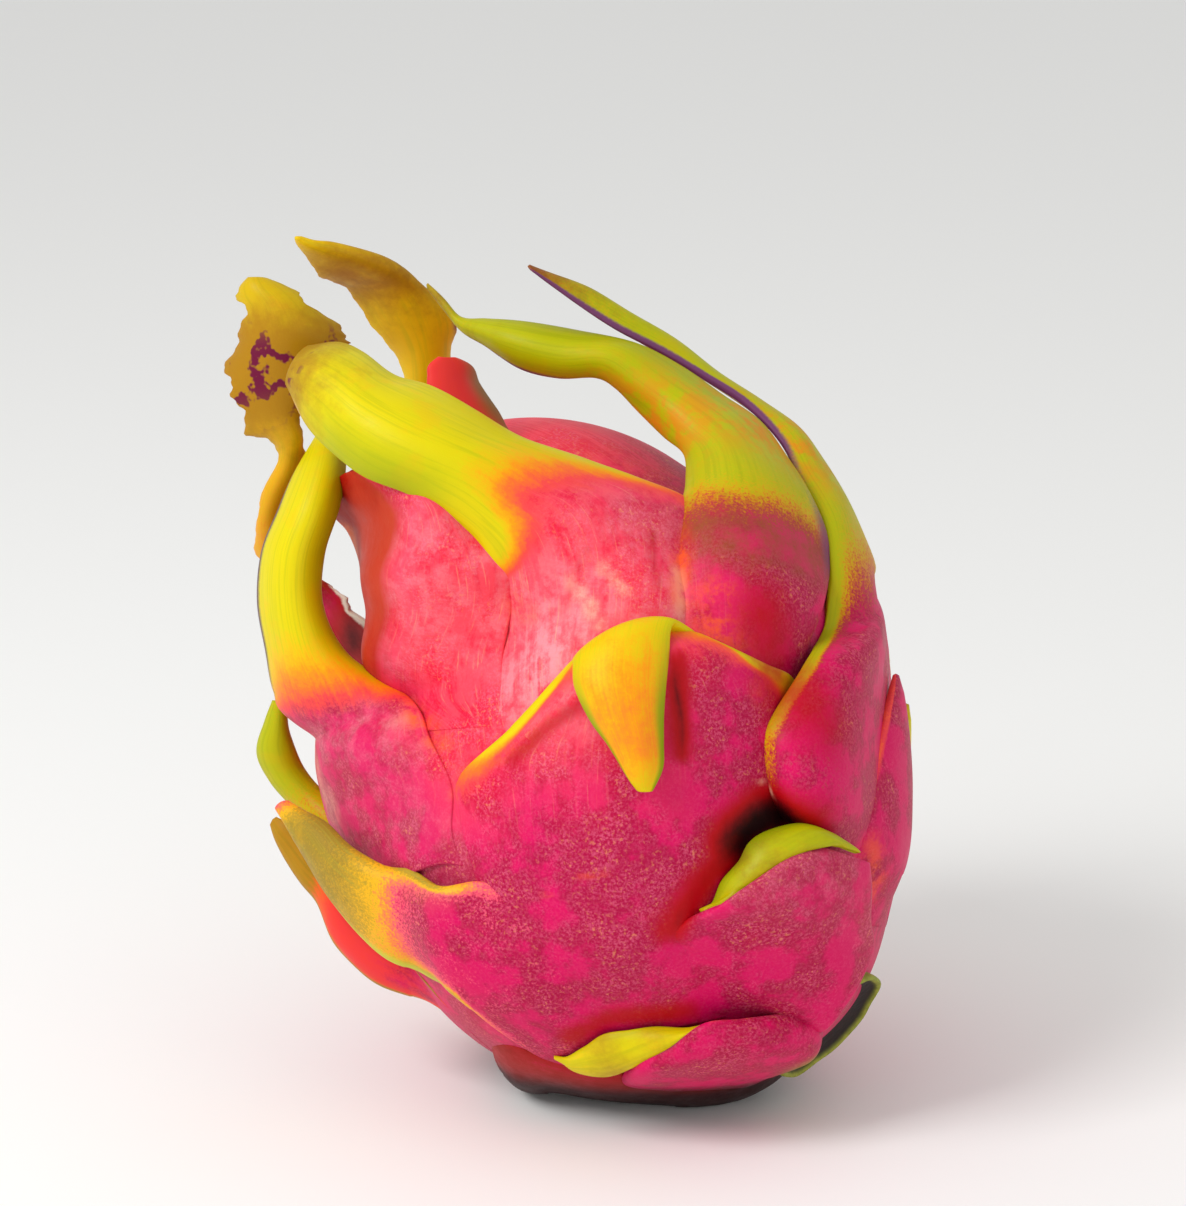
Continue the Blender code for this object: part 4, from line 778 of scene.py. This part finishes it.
left_tendril = scale("left_tendril", broad_rails(
    (on(-14, -110, -2), on(-10, -104, -2), on(-6, -98, -2), 3),
    ((-45.5, -2, 34.5), (-44, -4, 38), (-43, -1, 40.5), 2.4),
    ((-52, 1, 38), (-50, -2, 41), (-48, 1, 42.5), 2),
    ((-56.5, 4, 42), (-54.5, 1, 44.5), (-52, 3, 45), 1.9),
    ((-60, 5, 46), (-57.5, 2, 48), (-54.5, 4, 48), 1.8),
    ((-62, 5, 51), (-59, 2, 52.5), (-56, 4, 51.5), 1.8),
    ((-60.5, 4, 56.5), (-58.5, 2, 56.5), (-57, 4, 55), 1.6),
    ((-59, 3, 60.5), (-58, 2, 60.5), (-57, 3, 59.5), 1.2),
), olive_rind, rings=120, seed=12, ripe=(0, 0.5, 0.6, 0.7, 1, 1, 1, 0.8))
for piece in (left_spur, left_under_spur, left_tendril):
    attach(piece, "root")
    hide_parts("fruit")


# The lower right: the pocket scale, whose lip stands off the skin and rolls in over a dark pocket, the
# foot scale under it, which shows its yellow-green inner face, and the scales that the fruit lies on.
pocket_scale = scale("pocket_scale", broad_rails(
    (on(-43, -16, -2), on(-52, 1, -2), on(-57, 52, -2), 3),
    (on(-38, -2, -1), on(-46, 17, 1.5), on(-53.5, 38, 5), 3),
    (on(-36, 3, 1), on(-42.5, 24, 3.5), on(-52, 45, 5.5), 3),
    (on(-35, 10, 3), on(-40, 30, 6), on(-50, 53, 5.5), 2.8),
    (on(-34, 16, 6.5), on(-38, 33, 8), on(-47, 60, 5), 2.6),
    (on(-33, 23, 7.5), on(-36, 36, 8.5), on(-43, 55, 6.5), 2.4),
    (on(-32, 32, 8), on(-34, 40, 8.5), on(-39.5, 55, 7), 2.2),
    (on(-31.5, 40, 7), on(-33.5, 46, 7.5), on(-36, 55, 7), 1.6),
), yellow_rind, rings=150, sides=72, seed=13, bloom=(0, 0, 0, 0, 0.05, 0.1, 0.1, 0.1))
pocket_lip = scale("pocket_lip", broad_rails(
    (on(-35, 13, 1.5), on(-35, 14, 2.5), on(-35, 15, 3), 2),
    (on(-34.5, 17, 2.5), on(-34.5, 19, 4), on(-34, 19, 5.5), 2),
    (on(-32.5, 21, 2.5), on(-33, 23, 5), on(-33.5, 24, 6.5), 2),
    (on(-31, 26, 3), on(-31.5, 27, 6), on(-32.5, 29, 7.5), 2),
    (on(-29, 29, 3.5), on(-30.5, 31, 7), on(-32, 33, 7.5), 2),
    (on(-28.5, 34, 3.5), on(-30, 36, 7.5), on(-31.5, 38, 8), 2),
    (on(-29, 40, 4), on(-30, 40, 7.5), on(-32, 43, 8.5), 2),
    (on(-31, 46, 4.5), on(-31.5, 45, 7.5), on(-33, 47, 8), 1.8),
    (on(-33, 51, 5), on(-33.5, 50, 7), on(-34.5, 52, 7.5), 1.4),
), olive_rind, rings=120, sides=40, seed=17, marked=0.0,
    ripe=(0.8, 1, 1, 1, 1, 1, 1, 1, 0.8), green=(-0.6,) * 9,
    dry=(0, 0, 0.2, 0.4, 0.3, 0.2, 0.2, 0.2, 0.2))
foot_scale = scale("foot_scale", broad_rails(
    (on(-57, 142, -2), on(-56.5, 60, -1), on(-54, 51, -2), 3),
    (on(-57, 28, 2), on(-54.5, 26, 4.5), on(-52.5, 32, 1.5), 3),
    ((20, -22, 6), on(-53.5, 10, 5), on(-51, 18, 2.5), 2.8),
    ((16.5, -22, 4), on(-52.5, -1, 4.5), on(-49, 7, 3.5), 2.6),
    ((12, -22, 3.5), on(-51.5, -14, 4), on(-47, -2, 4), 2.4),
    ((6.5, -23, 3.5), on(-50, -27, 3.5), on(-47.5, -15, 4), 2.2),
    ((1.5, -24, 4.5), on(-49, -36, 3), on(-47.5, -26, 3.5), 2),
    ((-3, -25, 6), (-3, -28, 7), (-2.5, -31, 9), 1.4),
), yellow_rind, rings=130, sides=60, seed=14, green=(0, -0.8, -0.3, 0, 0, 0, 0, 0),
    rim=(0, 0, 0, 0, 0, 0.6, 0.6, 0))
foot_inner = scale("foot_inner", broad_rails(
    (on(-48.5, -4, 2.5), on(-48, -3, 3), on(-48.5, -5, 2), 1.8),
    (on(-48, -9, 3.5), on(-47.5, -9, 3.5), on(-48, -10, 1.5), 1.8),
    (on(-48, -20, 3.5), on(-46.5, -17, 3.5), on(-46, -17, 1), 1.8),
    (on(-47.5, -31, 3), on(-46, -25, 3), on(-44.5, -23, 1), 1.8),
    (on(-47, -42, 2.5), on(-45, -34, 3), on(-43, -30, 1), 1.8),
    (on(-46, -46, 2.5), on(-44, -41, 2.5), on(-43, -39, 1), 1.8),
    (on(-44, -50, 2), on(-43, -47, 2), on(-42.5, -48, 1), 1.6),
    (on(-42, -52, 0.5), on(-41.5, -51, 1), on(-41.5, -52, 0), 1.2),
), yellow_rind, rings=100, sides=40, seed=19, marked=0.0,
    ripe=(0.8, 0.9, 1, 1, 1, 0.9, 0.9, 0.8), green=(0, 0.3, 0.4, 0.4, 0.3, 0, 0, 0),
    dry=(0, 0.1, 0.4, 0.2, 0.5, 0.3, 0, 0))
side_scale = scale("side_scale", slim_rails(
    root(-46, 72, -2, 10, 0.4, 3), root(-38, 76, 1.5, 12, 0.4, 3), root(-28, 80, 2.5, 10, 0.3, 2.6),
    root(-18, 82, 3.2, 5, 0.2, 2.2), root(-12, 84, 3.6, 0.6, 0.2, 1.6),
), yellow_rind, rings=100, seed=15, band=(0, 0, 0.2, 0.3, 0.3))
seat_scale = scale("seat_scale", slim_rails(
    free((18, -8, 4), (0, 0, -1), 6, 0.1, 5), free((11, -6, 2.8), (0, 0, -1), 11, 0.1, 6),
    free((0, -4, 2.6), (0, 0, -1), 14, 0.1, 6.2), free((-11, -4, 3.2), (0, 0, -1), 12, 0.1, 6),
    free((-16, -5, 5), (-0.3, 0, -1), 9, 0.1, 6), free((-19, -6, 8), (-0.5, 0, -1), 5, 0.1, 4),
), dark_rind, rings=110, seed=16, ripe=(0.2, 0.3, 0.3, 0.3, 0.3, 0.3))
under_scale = scale("under_scale", broad_rails(
    ((23.5, -12, 5), (23, -16, 7), (22, -20, 9.5), 4),
    ((20.5, -12, 2), (19.5, -20, 6), (19, -25, 10), 4.5),
    ((16, -13, 0), (15.5, -22, 5), (14.5, -28, 9), 5),
    ((9.5, -14, -1), (9.5, -24, 4.5), (9, -31, 9.5), 5),
    ((1.5, -15, -0.5), (1.5, -26, 6), (1.5, -33, 11), 5),
    ((-6.5, -15, 0.5), (-6.5, -27, 7), (-6.5, -33.5, 12), 5),
    ((-13, -15, 1.5), (-13.5, -26, 8), (-13.5, -33, 13.5), 5),
    ((-17.5, -14, 1.5), (-18.5, -23, 7.5), (-19, -30, 15), 5),
    ((-20.5, -13, 3.5), (-21.5, -19, 8), (-21.5, -25, 14), 4),
), dark_rind, rings=110, sides=56, seed=18, ripe=(0.2, 0.3, 0.35, 0.35, 0.3, 0.3, 0.3, 0.3, 0.3))
for piece in (pocket_scale, pocket_lip, foot_scale, foot_inner, side_scale, seat_scale, under_scale):
    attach(piece, "root")
    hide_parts("fruit")


# The far side: two turns of broad scales below and one round the shoulder, each a broad base with a lip
# and a yellow-green tip that stands away from the skin.
FAR_SCALES = (
    (-34, 118, 13, 12, 4, 0), (-36, 168, 13, 12, 4, 0), (-34, 226, 13, 12, 4, 0),
    (-12, 132, 15, 20, 8, 4), (-12, 194, 15, 20, 8, -4),
    (12, 118, 14, 14, 4, 6), (12, 164, 14, 22, 8, 0), (14, 224, 13, 20, 8, -6),
)
for number, (along_mm, degrees, half_width, reach, flare, lean) in enumerate(FAR_SCALES):
    lip = along_mm + 10.0
    piece = scale("far_scale_%d" % (number + 1), slim_rails(
        root(along_mm - 12.0, degrees - lean, -2.0, half_width, 0.45, 3.0),
        root(along_mm, degrees, 1.2, half_width, 0.5, 3.0),
        root(lip, degrees, 2.6, 0.72 * half_width, 0.4, 2.6),
        root(lip + 0.45 * reach, degrees + lean, 2.6 + 0.45 * flare, 0.42 * half_width, 0.4, 2.2),
        root(lip + reach, degrees + 2.0 * lean, 2.6 + flare, 0.6, 0.2, 1.6),
    ), yellow_rind, rings=110, seed=20 + number, ripe=(0, 0, 0.1, 0.7, 1), margin=(0, 0.1, 0.4, 0.2, 0),
        green=(0, 0, 0.1, 0.4, 0.6), dry=(0, 0, 0, 0.1, 0.6))
    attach(piece, "root")
    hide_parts("fruit")


# The cut stem end, tucked in behind the scales of the lower right: a thin green rim round a dark core.
STEM_PLACE = np.array((28.6, -22.8, 15.6))
STEM_WAY = unit(np.array((0.67, -0.52, -0.53)))
STEM_PROFILE = ((0.0, -4.0), (5.0, -4.0), (8.6, -3.4), (9.9, -1.2), (10.5, 0.6), (10.8, 1.6), (10.5, 2.1),
                (10.0, 1.9), (9.2, 1.2), (6.0, 0.7), (2.5, 0.8), (0.0, 1.0))
STEM_RINGS = 60
STEM_ROUND = 72

t = np.linspace(0.0, 1.0, STEM_RINGS)
profile = smooth(np.linspace(0.0, 1.0, len(STEM_PROFILE)), np.array(STEM_PROFILE), t)
turn = np.linspace(0.0, 2.0 * math.pi, STEM_ROUND, endpoint=False)[None, :]
stem_u = unit(np.cross(STEM_WAY, (0.0, 0.0, 1.0)))
stem_v = np.cross(STEM_WAY, stem_u)
flute = 1.0 + 0.03 * np.sin(5 * turn + 1.0) + 0.02 * np.sin(9 * turn)
radial = np.maximum(profile[:, 0:1], 0.0) * flute
stem_ring = np.cos(turn)[..., None] * stem_u + np.sin(turn)[..., None] * stem_v
stem_grid = (STEM_PLACE + radial[..., None] * stem_ring
             + profile[:, 1][:, None, None] * STEM_WAY)
core = smoothstep(0.62, 0.72, t)[:, None] + 0.0 * turn
stem_paint = np.stack([core, 0.0 * core, 0.0 * core], -1)
stem_stub = closed_mesh("stem_stub_visual", drift(stem_grid), {"paint": stem_paint})

stem_bark = bpy.data.materials.new("cut_stem_green_and_dark")
stem_bark.use_nodes = True
tree = stem_bark.node_tree
shader = tree.nodes["Principled BSDF"]
place = add(tree, "ShaderNodeTexCoord").outputs["Object"]
fibre = add(tree, "ShaderNodeTexNoise", {
    "Vector": place, "Scale": 1.0 / (1.2 * MM), "Detail": 5.0}).outputs["Fac"]
part = add(tree, "ShaderNodeSeparateXYZ", {0: add(
    tree, "ShaderNodeAttribute", attribute_name="paint").outputs["Vector"]}).outputs[0]
green = add(tree, "ShaderNodeMix", {0: fibre, 6: linear("#5c6818"), 7: linear("#b4b83c")},
            data_type="RGBA").outputs[2]
dark = add(tree, "ShaderNodeMix", {0: fibre, 6: linear("#080406"), 7: linear("#2a1712")},
           data_type="RGBA").outputs[2]
both = add(tree, "ShaderNodeMix", {0: part, 6: green, 7: dark}, data_type="RGBA").outputs[2]
relief = add(tree, "ShaderNodeBump", {"Height": fibre, "Strength": 0.5, "Distance": 0.4 * MM}).outputs[0]
tree.links.new(both, shader.inputs["Base Color"])
tree.links.new(relief, shader.inputs["Normal"])
shader.inputs["Roughness"].default_value = 0.7
stem_stub.data.materials.append(stem_bark)
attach(stem_stub, "root")
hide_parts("stem_stub")


# The floor: a plain pale sheet, far larger than the view, with soft studio light from the upper left.
FLOOR_HALF = 6.0
floor_mesh = bpy.data.meshes.new("floor")
floor_mesh.from_pydata([(-FLOOR_HALF, -FLOOR_HALF, 0.0), (FLOOR_HALF, -FLOOR_HALF, 0.0),
                        (FLOOR_HALF, FLOOR_HALF, 0.0), (-FLOOR_HALF, FLOOR_HALF, 0.0)], [], [(0, 1, 2, 3)])
floor = bpy.data.objects.new("floor", floor_mesh)
bpy.context.scene.collection.objects.link(floor)
paper = bpy.data.materials.new("matt_white_paper")
paper.use_nodes = True
paper.node_tree.nodes["Principled BSDF"].inputs["Base Color"].default_value = linear("#fbfbf9")
paper.node_tree.nodes["Principled BSDF"].inputs["Roughness"].default_value = 0.9
floor_mesh.materials.append(paper)

world = bpy.data.worlds.new("studio")
world.use_nodes = True
world.node_tree.nodes["Background"].inputs[0].default_value = (1.0, 1.0, 1.0, 1.0)
world.node_tree.nodes["Background"].inputs[1].default_value = 0.68
bpy.context.scene.world = world


def soft_light(name, place, aim, size, watts):
    """Square area light at a place, turned towards its aim."""
    lamp = bpy.data.lights.new(name, "AREA")
    lamp.size = size
    lamp.energy = watts
    thing = bpy.data.objects.new(name, lamp)
    back = unit(np.array(place) - np.array(aim))
    thing.location = place
    thing.rotation_euler = (math.acos(back[2]), 0.0, math.atan2(back[0], -back[1]))
    bpy.context.scene.collection.objects.link(thing)


soft_light("key", (-0.6, -0.5, 0.7), (0.0, 0.0, 0.06), 0.4, 5.6)
soft_light("fill", (0.5, -0.8, 0.25), (0.0, 0.0, 0.06), 0.8, 0.9)

# The camera: level with the fruit's shoulder and 14 degrees above the floor, with a long lens.
FRAME_HEIGHT_PX = 1206
PX_PER_MM = 6.28
DISTANCE_MM = 650.0
AIM_MM = (-7.5, 0.0, 77.3)
ELEVATION = math.radians(14.0)
SENSOR_MM = 36.0
lens = bpy.data.cameras.new("camera")
lens.sensor_fit = "VERTICAL"
lens.sensor_height = SENSOR_MM
lens.lens = PX_PER_MM * DISTANCE_MM / FRAME_HEIGHT_PX * SENSOR_MM
camera = bpy.data.objects.new("camera", lens)
camera.location = (
    AIM_MM[0] * MM, (AIM_MM[1] - DISTANCE_MM * math.cos(ELEVATION)) * MM,
    (AIM_MM[2] + DISTANCE_MM * math.sin(ELEVATION)) * MM)
camera.rotation_euler = (math.pi / 2 - ELEVATION, 0.0, 0.0)
bpy.context.scene.collection.objects.link(camera)
bpy.context.scene.camera = camera
bpy.context.scene.view_settings.view_transform = "Standard"
